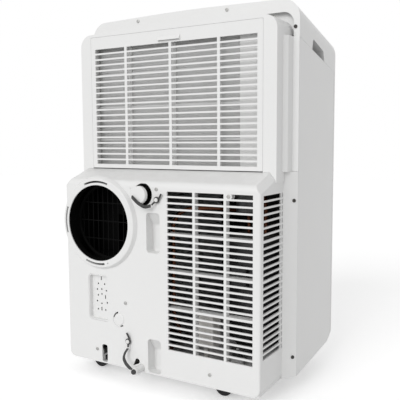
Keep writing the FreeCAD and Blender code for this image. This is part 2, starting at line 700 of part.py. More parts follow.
def finger_pull():
    """Hood over the top of the grille, open below, and the pocket behind it."""
    low, high = PULL_Z
    face = PANEL_Y - 1
    hood = prism([(face, low), (PANEL_Y + PULL_PROUD, low), (PANEL_Y + PULL_PROUD, low + 2), (face, high)],
                 [0, 0, 1.5, 0], "yz", PULL_X)
    inside = (PULL_X[0] + PULL_WALL, PULL_X[1] - PULL_WALL)
    tip = PANEL_Y + PULL_PROUD - PULL_WALL
    pocket = prism([(PANEL_Y - DOOR_PLATE_T + 1, low - 0.5), (tip, low - 0.5), (tip, low + 1.5),
                    (PANEL_Y - DOOR_PLATE_T + 1, high - PULL_WALL - 1)], [0] * 4, "yz", inside)
    return hood, pocket


def filter_door():
    half = DOOR_W / 2
    back = PANEL_Y - DOOR_THICK
    plate_y = (PANEL_Y - DOOR_PLATE_T, PANEL_Y)
    plate = slab((-half, half), (DOOR_BOTTOM_Z, DOOR_TOP_Z), 2, plate_y)
    rim = slab((-half, half), (DOOR_BOTTOM_Z, DOOR_TOP_Z), 2, (back, plate_y[0]))
    rim = rim.cut(slab((-half + WALL, half - WALL), (DOOR_BOTTOM_Z + WALL, DOOR_TOP_Z - WALL), 1,
                       (back - 1, PANEL_Y)))
    rows = door_rows()
    low = rows[0][0]
    high = rows[-1][1]
    opening = DOOR_GRILLE_W / 2
    blades = box((-opening - 2, opening + 2), (PANEL_Y - DOOR_BLADE_DEPTH, plate_y[0]), (low - 2, high + 2))
    hood, pocket = finger_pull()
    adds = [plate, rim, blades, hood]
    reach = DOOR_GAP + 1.6
    for side in (-1, 1):
        start = half - 1 if side > 0 else -half - reach
        adds.append(rod((start, DOOR_HINGE_Y, DOOR_HINGE_Z), (1, 0, 0), DOOR_PIN_R, reach + 1))
    body = fuse(adds)
    cuts = [pocket]
    edges = [-opening] + door_mullions() + [opening]
    for z in rows:
        for i in range(len(edges) - 1):
            left = edges[i] + (DOOR_MULLION_W / 2 if i > 0 else 0)
            right = edges[i + 1] - (DOOR_MULLION_W / 2 if i < len(edges) - 2 else 0)
            cuts.append(box((left, right), (back - 1, PANEL_Y + 1), z))
    save("filter_door", cut(body, cuts))


def filter_parts():
    """Tray with stiffening ribs behind the door, and the mesh it holds."""
    half = DOOR_W / 2 - WALL - SEAT
    low = DOOR_BOTTOM_Z + WALL + SEAT
    high = DOOR_TOP_Z - WALL - SEAT
    face = PANEL_Y - FILTER_FACE
    grid = (face - FILTER_GRID_T, face)
    tray = slab((-half, half), (low, high), 1.2, (grid[0], PANEL_Y - DOOR_THICK + 3))
    tray = tray.cut(box((-half + FILTER_BORDER, half - FILTER_BORDER), (grid[1], PANEL_Y),
                        (low + FILTER_BORDER, high - FILTER_BORDER)))
    rib = FILTER_RIB_W / 2
    mullions = door_mullions()
    spans = [(-half + FILTER_STRIP_W, mullions[1] - rib), (mullions[1] + rib, mullions[2] - rib),
             (mullions[2] + rib, half - FILTER_BORDER)]
    levels = [low + FILTER_BORDER] + list(FILTER_RIB_Z) + [high - FILTER_BORDER]
    windows = []
    for span in spans:
        for k in range(len(levels) - 1):
            bottom = levels[k] + (rib / 2 if k > 0 else 0)
            top = levels[k + 1] - (rib / 2 if k < len(levels) - 2 else 0)
            windows.append(box(span, (grid[0] - 1, grid[1] + 1), (bottom, top)))
    save("filter_frame", cut(tray, windows))
    mesh_y = (grid[0] - SEAT - MESH_T, grid[0] - SEAT)
    save("filter_mesh", box((-half + FILTER_STRIP_W - 6, half - 1), mesh_y, (low + 1, high - 1)))


# ---------------------------------------------------------------- side panels, front and cover
def body_shell():
    """Front and both sides as one band, before it is split into panels."""
    plan = [(-HALF, FRONT_Y), (HALF, FRONT_Y), (HALF, FRAME_Y - SEAM), (-HALF, FRAME_Y - SEAM)]
    outer = prism(plan, [FRONT_R, FRONT_R, 0, 0], "xy", (0, FAR))
    half = HALF - WALL
    plan = [(-half, FRONT_Y + WALL), (half, FRONT_Y + WALL), (half, FRAME_Y - SEAM - WALL),
            (-half, FRAME_Y - SEAM - WALL)]
    inner = prism(plan, [FRONT_R - WALL, FRONT_R - WALL, 0, 0], "xy", (-1, FAR + 1))
    clear = PANEL_HALF + 2 * SEAM
    window = box((-clear, clear), (0, FRAME_Y + 1), (-1, FAR + 1))
    band = outer.cut([inner, window])
    top = COVER_SEAM_Z - SEAM
    front_top = top - (FRAME_Y - FRONT_Y) * TAN_SLOPE
    line = underside(0)
    profile = [line[1], line[2], line[3], (FRONT_Y - 1, PAN_NOSE_Z), (FRONT_Y - 1, front_top - TAN_SLOPE),
               (FRAME_Y, top)]
    return band.common(prism(profile, [0, 24, 0, 0, 0, 0], "yz", (-HALF - 1, HALF + 1)))


def side_panels():
    shell = body_shell()
    split = FRONT_Y + FRONT_R + 3
    behind = box((-FAR, 0), (split, FAR), (-1, FAR))
    right = shell.common(behind)
    left = shell.common(mirror_x(behind))
    save("side_panel_right", right)
    save("side_panel_left", left)


def front_panel():
    shell = body_shell()
    split = FRONT_Y + FRONT_R + 3
    front = shell.common(box((-FAR, FAR), (-FAR, split - SEAM), (-1, FAR)))
    half = OUTLET_W / 2
    mouth = slab((-half, half), OUTLET_Z, 6, (FRONT_Y - 1, FRONT_Y + WALL + 1))
    groove = []
    for z in GROOVE_Z:
        groove.append(box((-HALF - 1, HALF + 1), (FRONT_Y - 1, FRONT_Y + 0.8), (z, z + 1.2)))
    save("front_panel", cut(front, [mouth, flap_hinge()] + groove))


def cover_block(inset):
    """Solid inside the cover's outer faces, moved in by an inset; open downwards if inset."""
    half = HALF - inset
    low = COVER_SEAM_Z if inset == 0 else COVER_SEAM_Z - 20
    points = [(-half, low), (half, low), (half, COVER_SIDE_Z - inset), (0, COVER_TOP_Z + 0.5 - inset),
              (-half, COVER_SIDE_Z - inset)]
    corner = COVER_CORNER_R - inset
    start = FRAME_Y - inset
    length = start - (FRONT_Y + inset)
    lift = -drop(start)
    face = outline([(u, v + lift) for u, v in points], [0, 0, corner, CROWN_R, corner], "xz", start)
    block = face.extrude(V(0, -length, -length * TAN_SLOPE))
    front = FRONT_Y + inset
    chain = []
    for edge in block.Edges:
        bounds = edge.BoundBox
        flat = abs(bounds.YMin - front) < 0.01 and abs(bounds.YMax - front) < 0.01
        bottom = bounds.ZMax < low + lift - length * TAN_SLOPE + 0.01
        if flat and not bottom:
            chain.append(edge)
    return block.makeFillet(FRONT_R - inset, chain)


def on_slope(shape, y):
    """Moves a shape built flat about the origin on to the sloping top, centred at y."""
    turned = shape.copy()
    turned.rotate(V(0, 0, 0), V(1, 0, 0), SLOPE)
    turned.translate(V(0, y, COVER_TOP_Z - drop(y)))
    return turned


def control_opening(grow, z):
    half_w = CONTROL_W / 2 + grow
    half_h = CONTROL_H / 2 + grow
    points = [(-half_w, -half_h), (half_w, -half_h), (half_w, half_h), (-half_w, half_h)]
    return prism(points, [8 + grow] * 4, "xy", z)


def grip_tool(side, grow, depth):
    """Slanted slot whose lower edge is the cover's own lower edge."""
    y0 = GRIP_Y[0] - grow
    y1 = GRIP_Y[1] + grow
    low0 = COVER_SEAM_Z - drop(y0) - (1 if grow == 0 else 0)
    low1 = COVER_SEAM_Z - drop(y1) - (1 if grow == 0 else 0)
    top = GRIP_H + (1 if grow == 0 else 0) + grow
    points = [(y0, low0), (y1, low1), (y1 - GRIP_LEAN / 2, low1 + top), (y0 + GRIP_LEAN, low0 + top)]
    tool = prism(points, [0, 0, 4, 4], "yz", (HALF - depth, HALF + 1))
    return tool if side > 0 else mirror_x(tool)


def top_cover():
    shell = cover_block(0).cut(cover_block(WALL))
    end_half = CAP_INNER_W / 2
    top = CAP_INNER_TOP
    points = [(-end_half, 0), (end_half, 0), (end_half, top), (-end_half, top)]
    doorway = prism(points, [0, 0, CAP_CORNER_R, CAP_CORNER_R], "xz", (FRAME_Y - WALL - 1, FRAME_Y + 1))
    hole = on_slope(control_opening(SEAM, (-12, 10)), CONTROL_Y)
    grips = [grip_tool(1, 0, WALL + 2), grip_tool(-1, 0, WALL + 2)]
    save("top_cover", cut(shell, [doorway, hole] + grips))


def handle_cups():
    cups = []
    for side in (1, -1):
        outer = grip_tool(1, WALL, GRIP_DEPTH).common(box((0, HALF - WALL - SEAT), (-FAR, FAR), (0, FAR)))
        inner = grip_tool(1, 0, GRIP_DEPTH - WALL)
        cup = outer.cut(inner)
        cups.append(cup if side > 0 else mirror_x(cup))
    save("handle_cups", Part.makeCompound(cups))


# ---------------------------------------------------------------- base pan and casters
def pan_plan(inset):
    wide = HALF - WALL - SEAM - inset
    narrow = HOUSING_HALF - WALL - SEAM - inset
    rear = REAR_Y - WALL - SEAM - inset
    front = FRONT_Y + WALL + SEAM + inset
    step = FRAME_Y - WALL - 2 * SEAM - inset
    points = [(-wide, front), (wide, front), (wide, step), (narrow, step), (narrow, rear),
              (-narrow, rear), (-narrow, step), (-wide, step)]
    corner = FRONT_R - WALL - SEAM - inset
    return prism(points, [corner, corner, 0, 0, 3, 3, 0, 0], "xy", (0, 200))


def pan_layer(low, high):
    lower = underside(low)
    upper = underside(high)
    ahead = FRONT_Y - 1
    behind = REAR_Y + 1
    points = [(behind, BASE_Z + low)] + lower[1:] + [(ahead, PAN_NOSE_Z + high)]
    points += list(reversed(upper[1:3])) + [(behind, BASE_Z + high)]
    return prism(points, [0, 0, 24, 0, 0, 24, 0, 0], "yz", (-HALF, HALF))


def pan_top(y):
    """Height of the base pan's floor at y."""
    if y > FRAME_Y:
        return BASE_Z + PAN_PLATE + PAN_DIP * (REAR_Y + 1 - y) / (REAR_Y + 1 - FRAME_Y)
    rise = (FRAME_Y - y) * (PAN_FRONT_Z - BASE_Z - PAN_DIP) / (FRAME_Y - PAN_TURN_Y)
    return BASE_Z + PAN_DIP + PAN_PLATE + rise


def caster_places():
    sweep = math.hypot(CASTER_TRAIL + WHEEL_R, WHEEL_PAIR_W / 2)
    rear_y = REAR_Y - WALL - SEAM - PAN_PLATE - CASTER_CLEAR / 2 - sweep
    return {
        "rear_left": (CASTER_X, rear_y),
        "rear_right": (-CASTER_X, rear_y),
        "front_left": (CASTER_X, CASTER_FRONT_Y),
        "front_right": (-CASTER_X, CASTER_FRONT_Y),
    }


def compressor_feet():
    feet = []
    for k in range(3):
        angle = math.radians(90 + 120 * k)
        feet.append((COMP_X + FOOT_PCD_R * math.cos(angle), COMP_Y + FOOT_PCD_R * math.sin(angle)))
    return feet


def base_pan():
    plan = pan_plan(0)
    plate = pan_layer(0.0, PAN_PLATE).common(plan)
    rim = pan_layer(0.0, PAN_RIM).common(plan.cut(pan_plan(WALL)))
    sweep = math.hypot(CASTER_TRAIL + WHEEL_R, WHEEL_PAIR_W / 2) + CASTER_CLEAR / 2
    adds = [plate, rim]
    cuts = []
    for x, y in caster_places().values():
        adds.append(rod((x, y, CASTER_TOP_Z + SEAT), (0, 0, 1), BOSS_R, CASTER_STEM_L + 4))
        cuts.append(rod((x, y, CASTER_TOP_Z), (0, 0, 1), CASTER_STEM_R + FIT, CASTER_STEM_L))
        if y > 0:
            adds.append(rod((x, y, BASE_Z + 1), (0, 0, 1), sweep + PAN_PLATE, CASTER_TOP_Z - BASE_Z + 2.5))
            cuts.append(rod((x, y, 0), (0, 0, 1), sweep, CASTER_TOP_Z + SEAT))
    for x, y in compressor_feet():
        adds.append(rod((x, y, BASE_Z + 4), (0, 0, 1), GROMMET_R + 3, PAD_Z - BASE_Z - 4))
        adds.append(rod((x, y, PAD_Z - 4), (0, 0, 1), STUD_BOLT_R, COMP_Z[0] + 8 - PAD_Z))
    pan = fuse([part.common(plan) for part in adds])
    trough_room = box((TROUGH_X[0] - WALL - SEAM, TROUGH_X[1] + WALL + SEAM),
                      (REAR_Y - LOWER_TROUGH_DEPTH - WALL - SEAM, REAR_Y), (0, 200))
    rim_front = REAR_Y - 2 * WALL - SEAM - 1
    slot_room = box((CASTER_SLOT_X - CASTER_SLOT_W / 2, CASTER_SLOT_X + CASTER_SLOT_W / 2),
                    (rim_front - 14, REAR_Y), (CASTER_SLOT_Z[0], 200))
    drip_room = box((DRIP_HOLE[0] - DRIP_HOLE_R - 1, DRIP_TIP[0] + 1), (rim_front, REAR_Y),
                    (BASE_Z + PAN_PLATE + 1, 200))
    body = cut(pan, cuts + [trough_room, slot_room, drip_room])
    start = REAR_Y - SPOUT_ROOT
    spout = rod((SPOUT_X, start, SPOUT_Z), (0, 1, 0), SPOUT_R, REAR_Y + SPOUT_PROUD - start)
    bore = rod((SPOUT_X, start - 1, SPOUT_Z), (0, 1, 0), SPOUT_BORE_R, FAR)
    save("base_pan", cut(fuse([body, spout]), [bore]))


def caster_frame(name, x, y):
    """Stem, cap, web and axle of one twin-wheel caster."""
    web_t = WHEEL_PAIR_W - 2 * WHEEL_W - 0.6
    centre_z = WHEEL_R
    stem = rod((x, y, CASTER_TOP_Z - 4), (0, 0, 1), CASTER_STEM_R, CASTER_STEM_L + 3)
    cap = rod((x, y, CASTER_TOP_Z - 4), (0, 0, 1), 9.0, 4)
    hub_x = x + CASTER_TRAIL
    arm = [(x - 8, CASTER_TOP_Z - 0.5), (x - 8, CASTER_TOP_Z - 12), (hub_x - 6, centre_z - 6),
           (hub_x + 6, centre_z - 6), (hub_x + 6, centre_z + 6), (x + 8, CASTER_TOP_Z - 0.5)]
    web = prism(arm, [0, 4, 5, 5, 5, 0], "xz", (y - web_t / 2, y + web_t / 2))
    half = WHEEL_PAIR_W / 2
    axle = rod((hub_x, y - half, centre_z), (0, 1, 0), AXLE_R, WHEEL_PAIR_W)
    save("caster_frame_" + name, fuse([stem, cap, web, axle]))


def caster_wheels(name, x, y):
    """The two wheels that turn together on one axle."""
    half = WHEEL_PAIR_W / 2
    wheels = []
    for start in (y - half, y + half - WHEEL_W):
        disc = rod((x + CASTER_TRAIL, start, WHEEL_R), (0, 1, 0), WHEEL_R, WHEEL_W)
        disc = disc.makeFillet(1.2, [e for e in disc.Edges if e.Length > 2 * WHEEL_R])
        bore = rod((x + CASTER_TRAIL, start - 1, WHEEL_R), (0, 1, 0), AXLE_R + FIT, WHEEL_W + 2)
        wheels.append(disc.cut(bore))
    save("caster_wheels_" + name, Part.makeCompound(wheels))


# ---------------------------------------------------------------- rear fittings
def exhaust_collar():
    """Stepped ring round the duct opening, with bayonet slots for the hose end."""
    seat = REAR_Y + SEAT
    axis = (0, 1, 0)
    face = seat + COLLAR_PROUD
    cone = Part.makeCone(COLLAR_BASE_R, COLLAR_FACE_R, COLLAR_PROUD, V(DUCT_X, seat, DUCT_Z), V(*axis))
    cone = cone.makeFillet(2.5, [e for e in cone.Edges if e.BoundBox.YMin > face - 0.1
                                 and abs(e.Length - 2 * math.pi * COLLAR_FACE_R) < 1])
    bore = rod((DUCT_X, REAR_Y - 20, DUCT_Z), axis, DUCT_R, 60)
    sleeve_room = COLLAR_PROUD - COLLAR_LIP_T + 1
    behind_lip = rod((DUCT_X, seat - 1, DUCT_Z), axis, DUCT_R + SLEEVE_T + SEAM, sleeve_room)
    slots = []
    for middle, span in BAYONET_SLOTS:
        slots.append(arc_slot((DUCT_X, DUCT_Z), BAYONET_MID_R, BAYONET_SLOT_W, middle, span,
                              (face - BAYONET_SLOT_DEPTH, face + 1)))
    angle = math.radians(COLLAR_PIN_ANGLE)
    pin = rod((DUCT_X + BAYONET_MID_R * math.cos(angle), face - 4, DUCT_Z + BAYONET_MID_R * math.sin(angle)),
              axis, COLLAR_PIN_R, 6)
    save("exhaust_collar", cut(cone, [bore, behind_lip, pin] + slots))


def arc_slot(centre, mid_r, width, middle, span, y):
    """Curved tool of constant width round a centre of the XZ plane; angles run from +X to +Z."""
    depth = y[1] - y[0]
    wedge = Part.makeCylinder(mid_r + width / 2, depth, V(0, 0, 0), V(0, 0, 1), span)
    wedge = wedge.cut(Part.makeCylinder(mid_r - width / 2, depth))
    wedge.rotate(V(0, 0, 0), V(0, 0, 1), middle - span / 2)
    wedge.rotate(V(0, 0, 0), V(1, 0, 0), 90)
    wedge = wedge.mirror(V(0, 0, 0), V(0, 1, 0))
    wedge.translate(V(centre[0], y[0], centre[1]))
    return wedge


def duct_guard():
    """Finger guard of thin bars across the duct, on a ring behind the rear wall."""
    y = REAR_Y - GUARD_DEPTH
    half_bar = GUARD_BAR_W / 2
    bars = (y - half_bar, y + half_bar)
    parts = [ring((DUCT_X, y - 2, DUCT_Z), (0, 1, 0), DUCT_R + 1, DUCT_R - 4, 4)]
    count = int((DUCT_R - 4) / GUARD_PITCH)
    reach = DUCT_R - 2
    for k in range(-count, count + 1):
        x = k * GUARD_PITCH
        half = math.sqrt(reach ** 2 - x ** 2)
        parts.append(box((DUCT_X + x - half_bar, DUCT_X + x + half_bar), bars, (DUCT_Z - half, DUCT_Z + half)))
    for z in GUARD_CROSS_Z:
        half = math.sqrt(reach ** 2 - z ** 2)
        parts.append(box((DUCT_X - half, DUCT_X + half), bars, (DUCT_Z + z - half_bar, DUCT_Z + z + half_bar)))
    save("duct_guard", fuse(parts))


def exhaust_duct():
    """Plenum between the blower's outlet and the collar, with the sleeve inside the collar."""
    front = PLENUM_Y
    rear = REAR_Y - WALL - SEAT
    axis = (0, 1, 0)
    outer = DUCT_R + 1.5
    inside = outer - SCROLL_WALL
    walls = box((DUCT_X - outer, DUCT_X + outer), (front, rear), (DUCT_Z - outer, DUCT_Z + outer))
    walls = walls.common(housing_block(WALL + SEAT))
    hollow = box((DUCT_X - inside, DUCT_X + inside), (front + SCROLL_WALL, rear - 6),
                 (DUCT_Z - inside, DUCT_Z + inside))
    mouth = rod((DUCT_X, rear - 8, DUCT_Z), axis, DUCT_R, 20)
    inlet = box((SCROLL_X[0] + SCROLL_WALL, SCROLL_X[1] - SCROLL_WALL), (front - 1, front + 3),
                (THROAT_Z + SCROLL_WALL, BLOWER_Z + SCROLL_R - SCROLL_WALL))
    guard_ring = rod((DUCT_X, REAR_Y - GUARD_DEPTH - 2.2, DUCT_Z), axis, DUCT_R + 1.2, 4.4)
    sleeve_end = REAR_Y + SEAT + COLLAR_PROUD - COLLAR_LIP_T - SEAM
    sleeve = ring((DUCT_X, rear - 4, DUCT_Z), axis, DUCT_R + SLEEVE_T, DUCT_R, sleeve_end - rear + 4)
    return fuse([cut(walls, [hollow, mouth, inlet, guard_ring]), sleeve])


def plug_dock():
    """Recessed insert that parks the hose plug, with its pattern of round and long holes."""
    half_w = DOCK_W / 2 - SEAM
    half_h = DOCK_H / 2 - SEAM
    floor_y = REAR_Y - DOCK_DEPTH
    x = (DOCK_X - half_w, DOCK_X + half_w)
    z = (DOCK_Z - half_h, DOCK_Z + half_h)
    cup = slab(x, z, DOCK_R - SEAM, (floor_y - 2, REAR_Y - 0.4))
    cup = cup.cut(slab((x[0] + 1.8, x[1] - 1.8), (z[0] + 1.8, z[1] - 1.8), DOCK_R - 2, (floor_y, REAR_Y)))
    holes = []
    for u, v in DOCK_HOLES:
        holes.append(rod((DOCK_X + u, floor_y - 3, DOCK_Z + v), (0, 1, 0), DOCK_HOLE_R, 6))
    half_slit, half_long = DOCK_SLIT[0] / 2, DOCK_SLIT[1] / 2
    for u, v in DOCK_SLITS:
        holes.append(slab((DOCK_X + u - half_slit, DOCK_X + u + half_slit),
                          (DOCK_Z + v - half_long, DOCK_Z + v + half_long), half_slit - FIT,
                          (floor_y - 3, floor_y + 1)))
    save("plug_dock", cut(cup, holes))


def blanking_plug():
    """Domed plug that closes the spare round outlet, with two gaps at its edge."""
    axis = (0, 1, 0)
    face = REAR_Y + 1.6
    inner = REAR_Y - WALL
    dome = rod((BLANK_X, inner - 2, BLANK_Z), axis, BLANK_DOME_R, face - inner + 2)
    dome = dome.makeFillet(3.0, [e for e in dome.Edges if e.BoundBox.YMin > face - 0.1 and e.Length > 50])
    plate = rod((BLANK_X, inner - 2, BLANK_Z), axis, BLANK_HOLE_R - SEAM, WALL + 1.6)
    lip = rod((BLANK_X, inner - 3 - SEAT, BLANK_Z), axis, BLANK_HOLE_R + 3, 3)
    gap_w = BLANK_HOLE_R - BLANK_DOME_R
    gaps = []
    for middle, span in BLANK_GAPS:
        gaps.append(arc_slot((BLANK_X, BLANK_Z), BLANK_DOME_R + gap_w / 2, gap_w, middle, span,
                             (inner - 6, REAR_Y + 1)))
    save("blanking_plug", cut(fuse([dome, plate, lip]), gaps))


def drain_port():
    """Round recess with the upper drain's outlet tube."""
    axis = (0, 1, 0)
    floor_y = REAR_Y - PORT_DEPTH
    cup = rod((PORT_X, floor_y - 2, PORT_Z), axis, PORT_R - SEAM, PORT_DEPTH - 2.5)
    cup = cup.cut(rod((PORT_X, floor_y, PORT_Z), axis, PORT_R - SEAM - 1.8, PORT_DEPTH + 1))
    root = floor_y - PORT_TUBE_ROOT
    tube = rod((PORT_X, root, PORT_Z), axis, PORT_TUBE_R, REAR_Y + PORT_TUBE_PROUD - root)
    bore = rod((PORT_X, root - 1, PORT_Z), axis, PORT_BORE_R, FAR)
    save("drain_port", cut(fuse([cup.common(housing_block(WALL + SEAT)), tube]), [bore]))


def drain_cap():
    """Push-on cap of the upper drain."""
    axis = (0, 1, 0)
    face = REAR_Y + CAP_PROUD
    body = rod((PORT_X, face - CAP_LEN, PORT_Z), axis, CAP_R, CAP_LEN)
    rim = [e for e in body.Edges if e.BoundBox.YMin > face - 0.1 and e.Length > 50]
    body = body.makeFillet(2.5, rim)
    start = face - CAP_LEN - 1
    bore = rod((PORT_X, start, PORT_Z), axis, PORT_TUBE_R + FIT, REAR_Y + PORT_TUBE_PROUD + SEAT - start)
    save("drain_cap", cut(body, [bore]))


def drain_plug():
    axis = (0, 1, 0)
    end = REAR_Y + SPOUT_PROUD + SEAT
    head = rod((SPOUT_X, end, SPOUT_Z), axis, PLUG_HEAD_R, PLUG_HEAD_T)
    rim = [e for e in head.Edges if e.BoundBox.YMin > end + PLUG_HEAD_T - 0.1 and e.Length > 20]
    head = head.makeFillet(1.5, rim)
    stem = rod((SPOUT_X, end - PLUG_STEM_L, SPOUT_Z), axis, SPOUT_BORE_R - FIT, PLUG_STEM_L)
    save("drain_plug", fuse([head, stem]))


def ribbon(points, width, bend, plane, span):
    """Strip of constant width along a line of the plane, with rounded bends, extruded over a span."""
    left = []
    right = []
    left_r = []
    right_r = []
    for i, (u, v) in enumerate(points):
        here = V(u, v, 0)
        back = (here - V(*points[i - 1], 0)).normalize() if i > 0 else None
        ahead = (V(*points[i + 1], 0) - here).normalize() if i < len(points) - 1 else back
        back = back or ahead
        turn = back.x * ahead.y - back.y * ahead.x
        normal = V(-back.y - ahead.y, back.x + ahead.x, 0)
        miter = normal * (width / 2 / (1 + back.dot(ahead)))
        left.append(((here + miter).x, (here + miter).y))
        right.append(((here - miter).x, (here - miter).y))
        inner, outer = bend - width / 2, bend + width / 2
        at_end = i in (0, len(points) - 1)
        left_r.append(0 if at_end else (inner if turn > 0 else outer))
        right_r.append(0 if at_end else (outer if turn > 0 else inner))
    return prism(left + right[::-1], left_r + right_r[::-1], plane, span)


def strap(points, width, plane):
    """Flat band: its outline seen from the rear, kept to the thickness of its run seen from the side."""
    seen = ribbon([(x, z) for x, y, z in points], width, 8, "xz", (REAR_Y, REAR_Y + 60))
    if plane == "xy":
        run = ribbon([(x, y) for x, y, z in points], STRAP_T, 8, plane, (0, FAR))
    else:
        run = ribbon([(y, z) for x, y, z in points], STRAP_T, 8, plane, (-FAR, FAR))
    return seen.common(run)


def strap_eye(stud, toward, tail):
    """Eye of a strap on its stud, with the stub towards the strap and a short loose tail."""
    x, z = stud
    y = REAR_Y + EYE_LIFT
    eye = rod((x, y, z), (0, 1, 0), EYE_R, STRAP_T)
    middle = y + STRAP_T / 2
    reach = V(toward[0] - x, toward[1] - middle, toward[2] - z)
    length = reach.Length
    reach.normalize()
    stub = rod((x, middle, z), reach, STUB_W / 2, length - STRAP_T)
    (u1, v1), (u2, v2) = tail
    end = pipe(((x, middle, z), (x + u1, middle + 0.3, z + v1), (x + u2, middle + 1.5, z + v2)), TAIL_R)
    hole = rod((x, REAR_Y, z), (0, 1, 0), STUD_R + FIT, 30)
    head_room = rod((x, y + STRAP_T, z), (0, 1, 0), STUD_HEAD_R + SEAT, 10)
    below = box((-HALF, HALF), (REAR_Y - FAR, REAR_Y + SEAT + STUD_FOOT_T + SEAT), (0, FAR))
    return cut(fuse([eye, stub, end]), [hole, head_room, below])


def straps():
    """Rubber straps: the run on each closure, and the eye with its tail on each stud."""
    save("drain_cap_strap", strap(CAP_STRAP, CAP_STRAP_W, "xy"))
    save("drain_plug_strap", strap(PLUG_STRAP, PLUG_STRAP_W, "yz"))
    eyes = [strap_eye(CAP_STUD, CAP_STRAP[-1], CAP_TAIL),
            strap_eye(PLUG_STUD, PLUG_STRAP[-1], PLUG_TAIL)]
    save("strap_eyes", Part.makeCompound(eyes))


def strap_studs():
    studs = []
    for x, z in (CAP_STUD, PLUG_STUD):
        shank = rod((x, REAR_Y + SEAT, z), (0, 1, 0), STUD_R, STUD_SHANK_L)
        head_y = REAR_Y + EYE_LIFT + STRAP_T + SEAT
        head = rod((x, head_y, z), (0, 1, 0), STUD_HEAD_R, STUD_HEAD_T)
        crown = [e for e in head.Edges if e.BoundBox.YMin > head_y + STUD_HEAD_T / 2]
        head = head.makeFillet(STUD_ROUND, crown)
        foot = rod((x, REAR_Y + SEAT, z), (0, 1, 0), STUD_HEAD_R, STUD_FOOT_T)
        studs.append(fuse([shank, head, foot]))
    save("strap_studs", Part.makeCompound(studs))


def case_screws():
    """Sunk pan-head screws that hold the shells together."""
    rear = REAR_Y + SEAT
    edge = FRAME_Y + SEAT
    places = [(x, rear, z) for x, z in REAR_SCREWS]
    places += [(x, edge, z) for x, z in COVER_SCREWS]
    places += [(side * (HALF - 8), edge, EDGE_SCREW_Z) for side in (-1, 1)]
    screws = []
    for x, y, z in places:
        head = rod((x, y, z), (0, 1, 0), SCREW_R, SCREW_T)
        rim = [e for e in head.Edges if e.BoundBox.YMin > y + SCREW_T - 0.05 and e.Length > 15]
        head = head.makeFillet(0.7, rim)
        sunk = (y + SCREW_T - 0.7, y + 9)
        cross = [box((x - 2, x + 2), sunk, (z - 0.45, z + 0.45)),
                 box((x - 0.45, x + 0.45), sunk, (z - 2, z + 2))]
        screws.append(head.cut(cross))
    sample = screws[0].copy()
    sample.translate(V(-places[0][0], -rear, -places[0][2]))
    lean = math.degrees(math.atan2(HALF - FLARE_X, 50 - FRAME_Y - 1.2))
    for z in FLARE_SCREW_Z:
        screw = sample.copy()
        screw.rotate(V(0, 0, 0), V(0, 0, 1), lean - 90)
        screw.translate(V((HALF + FLARE_X) / 2, (50 + FRAME_Y + 1.2) / 2, z) + V(0.16, 0.12, 0))
        screws += [screw, mirror_x(screw)]
    save("case_screws", Part.makeCompound(screws))


# ---------------------------------------------------------------- front air outlet
def outlet_frame():
    half = OUTLET_W / 2
    low, high = OUTLET_Z
    y0 = FRONT_Y + WALL + SEAT
    y1 = y0 + OUTLET_DEPTH
    tube = slab((-half - WALL, half + WALL), (low - WALL, high + WALL), 6 + WALL, (y0, y1))
    tube = tube.cut(slab((-half, half), (low, high), 6, (y0 - 1, y1 + 1)))
    flange = slab((-half - 10, half + 10), (low - 10, high + 10), 8, (y0, y0 + 2))
    flange = flange.cut(slab((-half, half), (low, high), 6, (y0 - 1, y0 + 3)))
    holes = []
    for x in vane_places():
        holes.append(rod((x, VANE_Y, low - WALL - 1), (0, 0, 1), VANE_PIN_R + FIT, high - low + 2 * WALL + 2))
    holes.append(flap_hinge())
    save("outlet_frame", cut(fuse([tube, flange]), holes))


def flap_hinge():
    """Bore of the flap's two pins, through the mouth's side walls."""
    half = OUTLET_W / 2
    return rod((-half - 2, FLAP_Y, FLAP_PIVOT_Z), (1, 0, 0), FLAP_PIN_R + FIT, OUTLET_W + 4)


def vane_places():
    pitch = OUTLET_W / VANES
    return [-OUTLET_W / 2 + pitch * (k + 0.5) for k in range(VANES)]


def vanes():
    low, high = OUTLET_Z
    for k, x in enumerate(vane_places()):
        half = VANE_CHORD / 2
        blade = box((x - VANE_T / 2, x + VANE_T / 2), (VANE_Y - half, VANE_Y + half), (low + 0.6, high - 0.6))
        hub = rod((x, VANE_Y, low + 0.6), (0, 0, 1), VANE_PIN_R + 0.8, high - low - 1.2)
        pin = rod((x, VANE_Y, low - WALL), (0, 0, 1), VANE_PIN_R, high - low + 2 * WALL)
        save("vane_%d" % (k + 1), fuse([blade, hub, pin]))


def louver_flap():
    half = OUTLET_W / 2 - FLAP_GAP
    low = OUTLET_Z[0] + FLAP_GAP
    high = OUTLET_Z[1] - FLAP_GAP
    plate = slab((-half, half), (low, high), 5, (FRONT_Y, FRONT_Y + FLAP_T))
    reach = FLAP_GAP + 1.6
    pins = [rod((-half - reach, FLAP_Y, FLAP_PIVOT_Z), (1, 0, 0), FLAP_PIN_R, reach + 1),
            rod((half - 1, FLAP_Y, FLAP_PIVOT_Z), (1, 0, 0), FLAP_PIN_R, reach + 1)]
    save("louver_flap", fuse([plate] + pins))


# ---------------------------------------------------------------- control panel
def button_places():
    start = CONTROL_W / 2 - 22 - (BUTTONS - 1) * BUTTON_PITCH
    return [start + k * BUTTON_PITCH for k in range(BUTTONS)]


